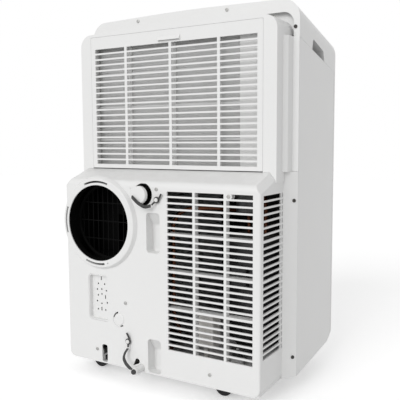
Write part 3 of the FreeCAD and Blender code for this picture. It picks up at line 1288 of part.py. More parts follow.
def control_panel():
    plate = control_opening(0, (-7, -1.8))
    flange = control_opening(5, (-8.5, -5.6))
    cuts = [rod((x, 0, -20), (0, 0, 1), BUTTON_R + BUTTON_GAP, 40) for x in button_places()]
    x0 = -CONTROL_W / 2 + 14
    cuts.append(box((x0, x0 + DISPLAY_W), (-DISPLAY_H / 2, DISPLAY_H / 2), (-3.8, 0)))
    save("control_panel", on_slope(cut(fuse([plate, flange]), cuts), CONTROL_Y))
    inner_h = DISPLAY_H / 2 - SEAT
    window = box((x0 + SEAT, x0 + DISPLAY_W - SEAT), (-inner_h, inner_h), (-3.8, -1.9))
    save("display_window", on_slope(window, CONTROL_Y))
    posts = [rod((x, y, -13), (0, 0, 1), 3, 4.4) for x in (-80, 80) for y in (-28, 28)]
    board = box((-86, 86), (-33, 33), (-14.6, -13))
    save("control_board", on_slope(fuse([board] + posts), CONTROL_Y))


def buttons():
    for k, x in enumerate(button_places()):
        head = rod((x, 0, -9.2), (0, 0, 1), BUTTON_R, 9.2)
        head = head.makeFillet(0.8, [e for e in head.Edges if e.BoundBox.ZMin > -0.1 and e.Length > 30])
        skirt = rod((x, 0, -10.2), (0, 0, 1), BUTTON_R + 1.6, 1.3)
        save("button_%d" % (k + 1), on_slope(fuse([head, skirt]), CONTROL_Y))


# ---------------------------------------------------------------- upper compartment
def drip_tray():
    half = PANEL_HALF - WALL - SEAM
    y = (-150.0, FRAME_Y + 24)
    tray = box((-half, half), y, (DECK_Z - 2.5, DECK_Z + 14))
    tray = tray.cut(box((-half + 2, half - 2), (y[0] + 2, y[1] - 2), (DECK_Z, DECK_Z + 20)))
    holes = [rod((x, SUCTION_Y, 0), (0, 0, 1), PIPE_R + 4, FAR) for x in (-SUCTION_X, -SUCTION_X + PIPE_GAP)]
    save("drip_tray", cut(tray, holes))


def coil(x, y, z, across):
    """Finned block with the hairpin bends of its tubes at both ends."""
    core = box(x, y, z)
    bends = []
    pitch = 26.0
    count = int((z[1] - z[0] - 20) / pitch)
    mid_x = (x[0] + x[1]) / 2
    mid_y = (y[0] + y[1]) / 2
    for k in range(count):
        level = z[0] + 16 + pitch * k
        for end in (0, 1):
            if across == "x":
                start = V(x[end], mid_y, level + pitch / 2)
                torus = Part.makeTorus(pitch / 4, COIL_TUBE_R * 0.8, start, V(0, 1, 0))
                keep = box((x[1], x[1] + 40) if end else (x[0] - 40, x[0]), (y[0] - 5, y[1] + 5), z)
            else:
                start = V(mid_x, y[end], level + pitch / 2)
                torus = Part.makeTorus(pitch / 4, COIL_TUBE_R * 0.8, start, V(1, 0, 0))
                keep = box((x[0] - 5, x[1] + 5), (y[1], y[1] + 40) if end else (y[0] - 40, y[0]), z)
            bends.append(torus.common(keep))
    return fuse([core] + bends)


def evaporator_coil():
    y1 = FRAME_Y + 20
    z0 = DECK_Z + SEAT
    save("evaporator_coil", coil((-COIL_W / 2, COIL_W / 2), (y1 - COIL_T, y1), (z0, z0 + COIL_H), "x"))


def blade_ring(count, radius, inner, thickness, length, tilt):
    """Blades of a fan rotor round the Z axis, from z = 0 up."""
    blades = []
    for k in range(count):
        blade = box((inner, radius), (-thickness / 2, thickness / 2), (0, length))
        blade.rotate(V((inner + radius) / 2, 0, 0), V(0, 0, 1), tilt)
        blade.rotate(V(0, 0, 0), V(0, 0, 1), 360.0 * k / count)
        blades.append(blade)
    return blades


def lay_along_x(shape, x, y, z):
    turned = shape.copy()
    turned.rotate(V(0, 0, 0), V(0, 1, 0), 90)
    turned.translate(V(x, y, z))
    return turned


def evaporator_fan():
    discs = [rod((0, 0, level), (0, 0, 1), FAN_R, 2) for level in (0, FAN_L / 2 - 1, FAN_L - 2)]
    blades = blade_ring(FAN_BLADES, FAN_R - 0.5, FAN_R - 11, 1.2, FAN_L, 25)
    shaft = rod((0, 0, -12), (0, 0, 1), SHAFT_R, FAN_L + 24)
    rotor = fuse(discs + blades + [shaft])
    save("evaporator_fan", lay_along_x(rotor, -FAN_L / 2, FAN_Y, FAN_Z))


def evaporator_scroll():
    """Lower guide wall, tongue and end plates round the cross-flow fan."""
    half = FAN_L / 2 + 4
    near = FAN_R + 6
    wall = 2.0
    y_out = FRONT_Y + WALL + SEAT + OUTLET_DEPTH + SEAT
    arc = ring((-half, FAN_Y, FAN_Z), (1, 0, 0), near + wall, near, 2 * half)
    keep = prism([(FAN_Y - 20, FAN_Z - 90), (FAN_Y + 90, FAN_Z - 90), (FAN_Y + 90, FAN_Z + 10),
                  (FAN_Y, FAN_Z + 4), (FAN_Y - 20, FAN_Z)], [0] * 5, "yz", (-half - 1, half + 1))
    arc = arc.common(keep)
    low = OUTLET_Z[0] - 1
    lip_z = FAN_Z - near - wall
    ramp = prism([(y_out, low - wall), (FAN_Y - 16, lip_z + 1), (FAN_Y - 16, lip_z + wall + 3), (y_out, low)],
                 [0] * 4, "yz", (-half, half))
    high = OUTLET_Z[1] + 1
    tongue = prism([(y_out, high), (FAN_Y - near, FAN_Z + 6), (FAN_Y - near, FAN_Z + 12),
                    (y_out, high + wall + 4)], [0] * 4, "yz", (-half, half))
    plates = []
    for side in (-1, 1):
        x = (half, half + 2.5) if side > 0 else (-half - 2.5, -half)
        plate = prism([(y_out, low - wall), (FAN_Y + 60, DECK_Z + SEAT), (FAN_Y + 60, FAN_Z + 30),
                       (FAN_Y - 20, FAN_Z + 54), (y_out, high + 6)], [0, 0, 10, 10, 0], "yz", x)
        foot = box((x[0], x[1]), (FAN_Y - 30, FAN_Y + 60), (DECK_Z + SEAT, FAN_Z))
        plates.append(fuse([plate, foot]))
    bore = rod((-half - 5, FAN_Y, FAN_Z), (1, 0, 0), SHAFT_R + FIT, 2 * half + 10)
    body = fuse([arc, ramp, tongue] + plates)
    save("evaporator_scroll", cut(body, [bore]))


def evaporator_motor():
    start = -FAN_L / 2 - 4 - 2.5 - SEAT
    body = rod((start, FAN_Y, FAN_Z), (-1, 0, 0), 34, 36)
    body = body.makeFillet(5, [e for e in body.Edges if e.Length > 150])
    recess = rod((start + 1, FAN_Y, FAN_Z), (-1, 0, 0), SHAFT_R + 0.3, 14)
    lug = box((start - 30, start - 8), (FAN_Y - 6, FAN_Y + 6), (DECK_Z + SEAT, FAN_Z - 30))
    save("evaporator_motor", cut(fuse([body, lug]), [recess]))


# ---------------------------------------------------------------- lower compartment
def condenser_coil():
    core = coil(COND_X, COND_Y, COND_Z, "y")
    legs = []
    for y in (COND_Y[0] + 20, COND_Y[1] - 30):
        legs.append(box((COND_X[0] + 4, COND_X[1] - 4), (y, y + 12), (pan_top(y) + SEAT, COND_Z[0] + 1)))
    save("condenser_coil", fuse([core] + legs))


def exhaust_fan():
    width = SCROLL_X[1] - SCROLL_X[0] - 16
    back = rod((0, 0, width - 2), (0, 0, 1), BLOWER_R, 2)
    rim = ring((0, 0, 0), (0, 0, 1), BLOWER_R, BLOWER_R - 12, 2)
    blades = blade_ring(BLOWER_BLADES, BLOWER_R - 0.5, BLOWER_R - 13, 1.4, width, 35)
    hub = rod((0, 0, width - 22), (0, 0, 1), 10, 22)
    shaft = rod((0, 0, width - 22), (0, 0, 1), SHAFT_R, 40)
    rotor = fuse([back, rim, hub, shaft] + blades)
    save("exhaust_fan", lay_along_x(rotor, SCROLL_X[0] + 8, BLOWER_Y, BLOWER_Z))


def exhaust_scroll():
    """Volute of the exhaust blower, open at its inlet, with the plenum to the duct."""
    rear = PLENUM_Y
    skin = SCROLL_WALL

    def volute(inset, x, end):
        radius = SCROLL_R - inset
        left = BLOWER_Y - radius
        right = BLOWER_Y + radius
        low = BLOWER_Z - radius
        high = BLOWER_Z + radius
        sill = THROAT_Z + inset
        points = [(left, low), (right, low), (right, sill), (end, sill), (end, high), (left, high)]
        return prism(points, [radius, radius, 0, 0, 0, radius], "yz", x)

    outer = volute(0, SCROLL_X, rear)
    inner = volute(SCROLL_WALL, (SCROLL_X[0] + SCROLL_WALL, SCROLL_X[1] - SCROLL_WALL), rear + 1)
    inlet = rod((SCROLL_X[0] - 1, BLOWER_Y, BLOWER_Z), (1, 0, 0), BLOWER_R - 8, skin + 2)
    bore = rod((SCROLL_X[1] - skin - 1, BLOWER_Y, BLOWER_Z), (1, 0, 0), SHAFT_R + FIT, skin + 2)
    foot = box((SCROLL_X[0] + 10, SCROLL_X[1] - 10), (BLOWER_Y - 20, BLOWER_Y + 20),
               (pan_top(BLOWER_Y - 20) + SEAT, BLOWER_Z - SCROLL_R + 4))
    body = cut(fuse([outer, foot.cut(inner)]), [inner, inlet, bore])
    save("exhaust_scroll", fuse([body, exhaust_duct()]))


def exhaust_motor():
    start = SCROLL_X[1] + SEAT
    body = rod((start, BLOWER_Y, BLOWER_Z), (1, 0, 0), 40, 46)
    body = body.makeFillet(6, [e for e in body.Edges if e.Length > 150])
    recess = rod((start - 1, BLOWER_Y, BLOWER_Z), (1, 0, 0), SHAFT_R + 0.3, 24)
    save("exhaust_motor", cut(body, [recess]))


def compressor():
    low, high = COMP_Z
    profile = [(0, low), (COMP_R, low), (COMP_R, high), (0, high)]
    face = outline(profile, [0, CAN_ROUND, CAN_ROUND, 0], "xz", 0)
    can = face.revolve(V(0, 0, 0), V(0, 0, 1), 360)
    can.translate(V(COMP_X, COMP_Y, 0))
    seam_drop, seam_h, seam_out = CAN_SEAM
    seam = ring((COMP_X, COMP_Y, high - seam_drop), (0, 0, 1), COMP_R + seam_out, COMP_R - WALL, seam_h)
    foot_z = (low - FOOT_RISE, low - FOOT_RISE + FOOT_PLATE_T)
    arms = []
    for x, y in compressor_feet():
        arm = rod((x, y, foot_z[0]), (0, 0, 1), FOOT_ARM_R, FOOT_PLATE_T)
        arms.append(arm)
    feet = compressor_feet()
    plate = prism(feet, [1, 1, 1], "xy", foot_z)
    holes = [rod((x, y, foot_z[0] - 1), (0, 0, 1), STUD_BOLT_R + SEAM, 8) for x, y in feet]
    terminal_y = (COMP_Y + COMP_R - 2 * WALL, COMP_Y + COMP_R + TERMINAL_REACH)
    terminal = box((COMP_X - TERMINAL_W / 2, COMP_X + TERMINAL_W / 2), terminal_y, TERMINAL_Z)
    body = fuse([can, seam, plate, terminal] + arms)
    save("compressor", cut(body, holes))


def compressor_grommets():
    grommets = []
    for x, y in compressor_feet():
        height = COMP_Z[0] - FOOT_RISE - PAD_Z - 2 * SEAT
        grommets.append(ring((x, y, PAD_Z + SEAT), (0, 0, 1), GROMMET_R, STUD_BOLT_R + SEAT, height))
    save("compressor_grommets", Part.makeCompound(grommets))


def refrigerant_pipes():
    """Discharge line to the condenser, suction and liquid lines of the evaporator."""
    top = COMP_Z[1]
    start = top + SEAT
    coil_face = FRAME_Y + 20 - COIL_T - SEAT
    side = COND_X[0] - SEAT
    down_x, down_y = DOWN_PIPE
    out_x = COMP_X + DISCHARGE_OUT
    discharge = pipe(((out_x, COMP_Y, start), (out_x, COMP_Y, top + 44), (out_x + 30, down_y - 20, top + 60),
                      (down_x, down_y, top + 52), (down_x, down_y, 130), (down_x - 12, down_y - 12, 92),
                      (side, down_y - 12, 92)), PIPE_R)
    back_x = COMP_X - SUCTION_BACK
    suction = pipe(((back_x, COMP_Y, start), (back_x, COMP_Y, top + 60), (-SUCTION_X, SUCTION_Y, top + 90),
                    (-SUCTION_X, SUCTION_Y, DECK_Z + 30), (-SUCTION_X, coil_face, DECK_Z + 30)), PIPE_R + 1)
    liquid_x = -SUCTION_X + PIPE_GAP
    over = DECK_Z - 22
    liquid = pipe(((side, 60, over - 28), (side - 38, 60, over - 28), (side - 88, 30, over - 16),
                   (liquid_x, SUCTION_Y, over), (liquid_x, SUCTION_Y, DECK_Z + 26),
                   (liquid_x, coil_face, DECK_Z + 26)), PIPE_R - 1.5)
    save("refrigerant_pipes", Part.makeCompound([discharge, suction, liquid]))


def electrics():
    """Run capacitor hung under the housing's roof and the terminal box on its post."""
    x, y = CAPACITOR_X, CAPACITOR_Y
    can = rod((x, y, CAPACITOR_Z[0]), (0, 0, 1), CAPACITOR_R, CAPACITOR_Z[1] - CAPACITOR_Z[0])
    can = can.makeFillet(3, [e for e in can.Edges if e.Length > 100])
    clamp = ring((x, y, CLAMP_Z), (0, 0, 1), CAPACITOR_R + 2, CAPACITOR_R - 0.5, CLAMP_H)
    hanger_y = (y - CAPACITOR_R - 1, y - CAPACITOR_R + 1)
    hanger = box((x - 8, x + 8), hanger_y, (CLAMP_Z, SHOULDER_TOP_Z - WALL - SEAT))
    save("capacitor", fuse([can, clamp, hanger]))
    post_x = (BOX_X[0] + BOX_X[1]) / 2
    post_y = (BOX_Y[0] + BOX_Y[1]) / 2
    post = box((post_x - 4, post_x + 4), (post_y - 4, post_y + 4), (pan_top(post_y - 4) + SEAT, BOX_Z[0] + 2))
    case = box(BOX_X, BOX_Y, BOX_Z)
    case = case.makeFillet(3, [e for e in case.Edges if abs(e.BoundBox.ZLength - (BOX_Z[1] - BOX_Z[0])) < 0.1])
    save("terminal_box", fuse([case, post]))


def main():
    rear_housing()
    rear_panel()
    filter_door()
    filter_parts()
    side_panels()
    front_panel()
    top_cover()
    handle_cups()
    base_pan()
    for name, (x, y) in caster_places().items():
        caster_frame(name, x, y)
        caster_wheels(name, x, y)
    exhaust_collar()
    duct_guard()
    plug_dock()
    blanking_plug()
    drain_port()
    drain_cap()
    drain_plug()
    straps()
    strap_studs()
    case_screws()
    outlet_frame()
    vanes()
    louver_flap()
    control_panel()
    buttons()
    drip_tray()
    evaporator_coil()
    evaporator_fan()
    evaporator_scroll()
    evaporator_motor()
    condenser_coil()
    exhaust_fan()
    exhaust_scroll()
    exhaust_motor()
    compressor()
    compressor_grommets()
    refrigerant_pipes()
    electrics()


os.makedirs("parts", exist_ok=True)
main()
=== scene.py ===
"""Portable air conditioner on casters: its mouldings, straps, net, coils and screws, and their finishes."""

import json
import math

import bpy
from mathutils import Matrix, Vector

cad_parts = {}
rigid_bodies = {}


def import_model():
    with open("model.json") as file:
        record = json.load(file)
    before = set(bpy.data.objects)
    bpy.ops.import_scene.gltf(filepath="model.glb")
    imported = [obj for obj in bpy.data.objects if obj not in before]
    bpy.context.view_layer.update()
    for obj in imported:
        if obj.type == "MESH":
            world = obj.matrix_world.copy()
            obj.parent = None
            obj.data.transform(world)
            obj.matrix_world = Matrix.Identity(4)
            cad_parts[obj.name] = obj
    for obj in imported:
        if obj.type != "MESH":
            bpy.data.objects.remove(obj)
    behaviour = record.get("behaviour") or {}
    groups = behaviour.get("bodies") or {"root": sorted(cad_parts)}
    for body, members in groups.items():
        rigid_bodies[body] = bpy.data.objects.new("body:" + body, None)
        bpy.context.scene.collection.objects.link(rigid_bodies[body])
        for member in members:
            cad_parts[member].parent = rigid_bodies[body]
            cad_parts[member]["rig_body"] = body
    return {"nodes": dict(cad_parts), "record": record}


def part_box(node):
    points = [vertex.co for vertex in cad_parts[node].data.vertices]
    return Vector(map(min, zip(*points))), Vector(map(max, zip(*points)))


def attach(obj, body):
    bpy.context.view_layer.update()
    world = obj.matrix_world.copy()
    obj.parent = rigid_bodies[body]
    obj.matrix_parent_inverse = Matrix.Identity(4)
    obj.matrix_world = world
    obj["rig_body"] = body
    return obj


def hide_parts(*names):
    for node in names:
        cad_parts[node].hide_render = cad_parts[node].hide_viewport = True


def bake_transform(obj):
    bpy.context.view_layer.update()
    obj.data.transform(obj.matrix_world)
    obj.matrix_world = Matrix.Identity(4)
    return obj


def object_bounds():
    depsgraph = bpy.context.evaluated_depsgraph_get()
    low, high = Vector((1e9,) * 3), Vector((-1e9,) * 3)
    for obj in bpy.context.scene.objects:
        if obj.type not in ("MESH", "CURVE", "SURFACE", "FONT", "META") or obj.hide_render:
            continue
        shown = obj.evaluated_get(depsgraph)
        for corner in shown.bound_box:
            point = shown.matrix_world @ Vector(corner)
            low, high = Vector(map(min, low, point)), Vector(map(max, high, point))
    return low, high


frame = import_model()
cad_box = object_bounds()

MM = 0.001
MERGE_GAP = 0.004 * MM                             # corners closer than this are one
EDGE_SCREW_X = cad_box[1][0] - 15.0 * MM           # screws in the edges of the shells stand outside this
WALL_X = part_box("rear_housing")[1][0] - 8.0 * MM   # side walls of the shells stand outside this
FRONT_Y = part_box("front_panel")[0][1] + 30.0 * MM  # the front wall stands before this
TURNED = 0.5                                       # least share of an axis in a face's normal to face its way
SQUARE = 0.9                                       # the same for a face that lies square to the axis

# ---------------------------------------------------------------- camera and light
CAMERA_PLACE = (-0.6643, 1.0827, 0.4809)
CAMERA_TURN = 211.22
CAMERA_DIP = 5.60
CAMERA_ROLL = -0.29
CAMERA_LENS = 54.74
WORLD_LEVEL = 0.58
WHITE_LEVEL = 1.0          # background as the camera sees it
KEY_LEVEL = 1.30
KEY_SOFTNESS = 35.0
KEY_TOWARDS = (0.05, 0.90, 0.46)
KEY_REACH = 3.0
FLOOR_SIZE = 12.0
FLOOR_WHITE = 0.84
FLOOR_GLOW = 0.39          # brings the lit floor up to the white of the background


# ---------------------------------------------------------------- working on meshes
def only(*pieces):
    """Leaves just these pieces selected, the last one active."""
    bpy.ops.object.select_all(action="DESELECT")
    for piece in pieces:
        piece.select_set(True)
    bpy.context.view_layer.objects.active = pieces[-1]


def close():
    bpy.ops.object.mode_set(mode="OBJECT")


def open_all(piece):
    """Opens a piece for editing with everything selected."""
    only(piece)
    bpy.ops.object.mode_set(mode="EDIT")
    bpy.ops.mesh.select_all(action="SELECT")


def settle(piece, name):
    """Puts a new piece's place, turn and size into its mesh."""
    piece.name = name
    only(piece)
    bpy.ops.object.transform_apply(location=True, rotation=True, scale=True)
    return piece


def apply(piece, kind, **settings):
    """Adds one modifier, sets it and applies it."""
    only(piece)
    added = piece.modifiers.new(kind.title(), kind)
    for key, value in settings.items():
        setattr(added, key, value)
    bpy.ops.object.modifier_apply(modifier=added.name)


def smooth(piece, angle=32):
    only(piece)
    bpy.ops.object.shade_smooth_by_angle(angle=math.radians(angle))


def soften(piece, width, segments=2, angle=35):
    """Rounds every edge sharper than the angle, as a mould does."""
    apply(piece, "BEVEL", width=width, segments=segments, limit_method="ANGLE",
          angle_limit=math.radians(angle), use_clamp_overlap=True, miter_outer="MITER_ARC")


def copy_of(node, name=None):
    """Closed copy of a node, with its loose triangles merged."""
    piece = bpy.data.objects.new(name or node + "_part", frame["nodes"][node].data.copy())
    bpy.context.scene.collection.objects.link(piece)
    open_all(piece)
    bpy.ops.mesh.remove_doubles(threshold=MERGE_GAP)
    close()
    bpy.ops.mesh.customdata_custom_splitnormals_clear()
    return piece


def dress(piece, paint):
    """Paints a piece: the named paint becomes its only material."""
    piece.data.materials.clear()
    piece.data.materials.append(PAINTS[paint])


def finish(piece, paint, body, node):
    """Dresses a piece, lets it move with its body and puts it in the place of the plain node."""
    dress(piece, paint)
    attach(piece, body)
    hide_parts(node)


# ---------------------------------------------------------------- shader sums
class Socket:
    """An output of a node that can be added, multiplied and compared like a number."""

    def __init__(self, paint, output):
        self.paint = paint
        self.output = output

    def sum(self, operation, *values):
        return self.paint.node("ShaderNodeMath", {"operation": operation}, dict(enumerate(values)))

    def __add__(self, other):
        return self.sum("ADD", self, other)

    def __radd__(self, other):
        return self.sum("ADD", other, self)

    def __sub__(self, other):
        return self.sum("SUBTRACT", self, other)

    def __rsub__(self, other):
        return self.sum("SUBTRACT", other, self)

    def __mul__(self, other):
        return self.sum("MULTIPLY", self, other)

    def __rmul__(self, other):
        return self.sum("MULTIPLY", other, self)

    def __gt__(self, other):
        return self.sum("GREATER_THAN", self, other)

    def __lt__(self, other):
        return self.sum("LESS_THAN", self, other)

    def __abs__(self):
        return self.sum("ABSOLUTE", self)

    def __or__(self, other):
        return self.sum("MAXIMUM", self, other)


class Paint:
    """Nodes of one material or world, all made by node()."""

    def __init__(self, owner):
        owner.use_nodes = True
        self.owner = owner
        self.tree = owner.node_tree
        self.tree.nodes.clear()

    def plug(self, socket, value):
        if isinstance(value, Socket):
            self.tree.links.new(value.output, socket)
        elif isinstance(value, tuple) and len(value) == 3 and socket.type == "RGBA":
            socket.default_value = (*value, 1.0)
        else:
            socket.default_value = value

    def node(self, kind, settings=None, inputs=None, output=0):
        made = self.tree.nodes.new(kind)
        for key, value in (settings or {}).items():
            setattr(made, key, value)
        for key, value in (inputs or {}).items():
            self.plug(made.inputs[key], value)
        return Socket(self, made.outputs[output])

    def place(self):
        return self.node("ShaderNodeTexCoord", output="Object")

    def noise(self, scale, detail=3.0, rough=0.5, stretch=None, seed=0.0):
        """Noise over the object's own coordinates, with as many swells per metre as its scale."""
        where = self.place()
        if stretch or seed:
            where = self.node("ShaderNodeMapping", inputs={
                "Vector": where, "Location": (seed, seed * 0.7, seed * 1.3), "Scale": stretch or (1, 1, 1)})
        return self.node("ShaderNodeTexNoise", inputs={
            "Vector": where, "Scale": scale, "Detail": detail, "Roughness": rough})

    def ramp(self, value, low, high, start=0.0, end=1.0):
        """Fades from start to end while the value goes from low to high."""
        return self.node("ShaderNodeMapRange", {"clamp": True}, {
            "Value": value, "From Min": low, "From Max": high, "To Min": start, "To Max": end})

    def mix(self, amount, first, second):
        return self.node("ShaderNodeMix", {"data_type": "RGBA"}, {0: amount, 6: first, 7: second}, output=2)

    def axes(self, kind):
        """The three numbers of a coordinate of the piece: Object for the place, Normal for the slope."""
        value = self.node("ShaderNodeTexCoord", output=kind)
        return [self.node("ShaderNodeSeparateXYZ", inputs={0: value}, output=i) for i in range(3)]

    def facing_up(self):
        return self.axes("Normal")[2]

    def facing_in(self):
        """1 on the inner faces of the shells, which get painted shade: behind the rear walls, inside the side
        walls and the front.
        """
        x, y, z = self.axes("Object")
        across, along, up = self.axes("Normal")
        behind = along < -TURNED
        beside = (abs(x) > WALL_X) * (x * across < -TURNED * WALL_X)
        before = (y < FRONT_Y) * (along > TURNED)
        return behind * (y > FRONT_Y) | beside | before

    def facing_out_of(self, low, high):
        """1 on faces turned to the rear between two depths, which get painted shade at the bottoms of slots.
        """
        along = self.axes("Object")[1]
        square = self.axes("Normal")[1] > SQUARE
        return square * (along > low) * (along < high)

    def bump(self, height, depth, strength=1.0, base=None):
        inputs = {"Height": height, "Distance": depth, "Strength": strength}
        if base is not None:
            inputs["Normal"] = base
        return self.node("ShaderNodeBump", inputs=inputs)

    def seen(self):
        """1 where the camera looks, straight, by reflection or through clear parts, and 0 for light."""
        rays = [self.node("ShaderNodeLightPath", output=f"Is {kind} Ray")
                for kind in ("Camera", "Glossy", "Transmission")]
        return rays[0] + rays[1] + rays[2]

    def end(self, kind, shader):
        """Leads the last shader to the output."""
        output = self.tree.nodes.new(kind)
        self.tree.links.new(shader.output, output.inputs["Surface"])
        return self.owner

    def build(self, **sockets):
        """Closes the finish with a Principled shader and the values or links of its sockets."""
        shader = self.node("ShaderNodeBsdfPrincipled", inputs={
            key.replace("_", " "): value for key, value in sockets.items()})
        return self.end("ShaderNodeOutputMaterial", shader)


DUST = (0.48, 0.46, 0.42)          # on top faces
LINT = (0.36, 0.35, 0.33)          # in the net
BLOOM = (0.11, 0.11, 0.11)         # of old rubber
CAN_DUST = (0.25, 0.24, 0.22)
BARE_STEEL = (0.34, 0.33, 0.32)
BOARD = (0.012, 0.075, 0.028)
TRACK = (0.03, 0.16, 0.06)
WINDOW = (0.010, 0.011, 0.013)
SMEAR = (0.028, 0.029, 0.032)


def new_paint(name):
    return Paint(bpy.data.materials.new(name))


def darker(colour, factor):
    return tuple(channel * factor for channel in colour)


def moulded_plastic(name, colour, rough, grain=0.012, dust=0.12, scuff=0.10, shaded_inside=False, shine=0.5,
                    slot_shade=None):
    """Moulded plastic: eroded grain, flow clouds, smudges, dust on top faces and rare scuffs.
    A shell may get near-black painted shade on its inner faces, and on the faces at the bottom of its slots."""
    paint = new_paint(name)
    clouds = paint.noise(scale=7.0, detail=4.0, rough=0.55)
    specks = paint.noise(scale=420.0, detail=2.0, rough=0.6, seed=3.1)
    tone = paint.mix(clouds, darker(colour, 0.965), colour)
    tone = paint.mix(paint.ramp(specks, 0.60, 0.75, 0.0, 0.5), tone, darker(colour, 0.955))
    rubbed = paint.noise(scale=55.0, detail=5.0, rough=0.62, stretch=(1.0, 1.0, 3.6), seed=7.7)
    scuffs = paint.ramp(rubbed, 0.66, 0.73)
    tone = paint.mix(scuffs * scuff, tone, darker(colour, 0.80))
    top = paint.ramp(paint.facing_up(), 0.45, 0.95)
    lying = top * paint.ramp(paint.noise(scale=38.0, detail=5.0, rough=0.65, seed=1.9), 0.35, 0.75) * dust
    tone = paint.mix(lying, tone, DUST)
    # painted shade: the inner faces of the white shells turn near-black, for the dark inside the unit
    if shaded_inside:
        tone = paint.mix(paint.facing_in(), tone, PAINTED_SHADE)
    # painted shade: faces at the bottom of the slots turn near-black, for the dark of an open slot
    if slot_shade:
        tone = paint.mix(paint.facing_out_of(*slot_shade), tone, PAINTED_SHADE)
    smudges = paint.noise(scale=16.0, detail=4.0, rough=0.6, seed=5.3)
    gloss = rough - 0.05 + smudges * 0.10 + scuffs * 0.12 + lying * 0.5
    fine = paint.noise(scale=1500.0, detail=2.0, rough=0.55)
    broad = paint.noise(scale=14.0, detail=2.0, rough=0.4, seed=2.2)
    wave = paint.bump(broad, 0.35 * MM, 0.4)
    normal = paint.bump(fine, grain * MM, 1.0, wave)
    return paint.build(Base_Color=tone, Roughness=gloss, Normal=normal, IOR=1.49, Specular_IOR_Level=shine)


def rubber(name, colour, rough):
    """Soft rubber: dull, with a bloom of pale dust and a fine skin."""
    paint = new_paint(name)
    bloom = paint.ramp(paint.noise(scale=90.0, detail=5.0, rough=0.65), 0.45, 0.80)
    tone = paint.mix(bloom * 0.55, colour, BLOOM)
    gloss = rough + bloom * 0.12
    normal = paint.bump(paint.noise(scale=900.0, detail=3.0, rough=0.6), 0.03 * MM)
    return paint.build(Base_Color=tone, Roughness=gloss, Normal=normal)


def worn_metal(name, colour, rough, brushed=(1, 1, 1), tarnish=(0.18, 0.14, 0.10), amount=0.25):
    """Bare metal with brushing along one axis and a little tarnish."""
    paint = new_paint(name)
    stain = paint.ramp(paint.noise(scale=45.0, detail=5.0, rough=0.6), 0.50, 0.78)
    lines = paint.noise(scale=600.0, detail=3.0, rough=0.6, stretch=brushed)
    tone = paint.mix(lines, darker(colour, 0.86), colour)
    tone = paint.mix(stain * amount, tone, tarnish)
    gloss = rough + lines * 0.12 + stain * 0.2
    metal = 1.0 - stain * amount * 0.8
    normal = paint.bump(lines, 0.02 * MM)
    return paint.build(Base_Color=tone, Metallic=metal, Roughness=gloss, Normal=normal)


def painted_steel(name, colour, rough):
    """Painted steel can: orange peel, drips of wear to grey metal and settled dust."""
    paint = new_paint(name)
    peel = paint.noise(scale=260.0, detail=3.0, rough=0.5)
    chips = paint.ramp(paint.noise(scale=120.0, detail=6.0, rough=0.7, seed=4.0), 0.70, 0.73)
    dust = paint.ramp(paint.facing_up(), 0.2, 0.9) * 0.35
    clouds = paint.noise(scale=11.0, detail=4.0, rough=0.6)
    tone = paint.mix(clouds, darker(colour, 0.8), darker(colour, 1.25))
    tone = paint.mix(dust, tone, CAN_DUST)
    tone = paint.mix(chips, tone, BARE_STEEL)
    gloss = rough + peel * 0.1 + dust * 0.6
    normal = paint.bump(peel, 0.08 * MM)
    return paint.build(Base_Color=tone, Metallic=chips * 0.8, Roughness=gloss, Normal=normal)


def foam(name, colour):
    """Cut expanded foam: beads, pits and a dull surface."""
    paint = new_paint(name)
    beads = paint.node("ShaderNodeTexVoronoi", {"feature": "F1"}, {"Vector": paint.place(), "Scale": 320.0})
    tone = paint.mix(beads, colour, darker(colour, 0.86))
    tone = paint.mix(paint.noise(scale=9.0, detail=4.0, rough=0.6) * 0.4, tone, darker(colour, 0.82))
    normal = paint.bump(beads, 0.25 * MM)
    return paint.build(Base_Color=tone, Roughness=0.85 + beads * 0.1, Normal=normal)


def circuit_board(name):
    """Green board with lighter tracks under its varnish."""
    paint = new_paint(name)
    tracks = paint.node("ShaderNodeTexVoronoi", {"feature": "DISTANCE_TO_EDGE"}, {
        "Vector": paint.place(), "Scale": 130.0, "Randomness": 0.35})
    line = paint.ramp(tracks, 0.02, 0.05, 1.0, 0.0)
    tone = paint.mix(line, BOARD, TRACK)
    gloss = 0.35 + paint.noise(scale=60.0) * 0.15
    return paint.build(Base_Color=tone, Roughness=gloss, Normal=paint.bump(line, 0.04 * MM))


def smoked_window(name):
    """Dark smoked window with faint smears."""
    paint = new_paint(name)
    smear = paint.ramp(paint.noise(scale=34.0, detail=5.0, rough=0.6, stretch=(1.0, 2.5, 1.0)), 0.5, 0.8)
    tone = paint.mix(smear * 0.5, WINDOW, SMEAR)
    gloss = 0.08 + smear * 0.18
    return paint.build(Base_Color=tone, Roughness=gloss, Normal=paint.bump(smear, 0.01 * MM))


def filament(name, colour):
    """Extruded net filaments: milky plastic that has gathered dust in patches."""
    paint = new_paint(name)
    gathered = paint.ramp(paint.noise(scale=26.0, detail=5.0, rough=0.62), 0.42, 0.80)
    lint = paint.ramp(paint.noise(scale=210.0, detail=4.0, rough=0.7, seed=2.7), 0.62, 0.74)
    tone = paint.mix(gathered * 0.35, colour, darker(colour, 0.72))
    tone = paint.mix(lint * 0.5, tone, LINT)
    normal = paint.bump(paint.noise(scale=1300.0, detail=2.0, rough=0.6), 0.02 * MM)
    return paint.build(Base_Color=tone, Roughness=0.5 + gathered * 0.3, Normal=normal)


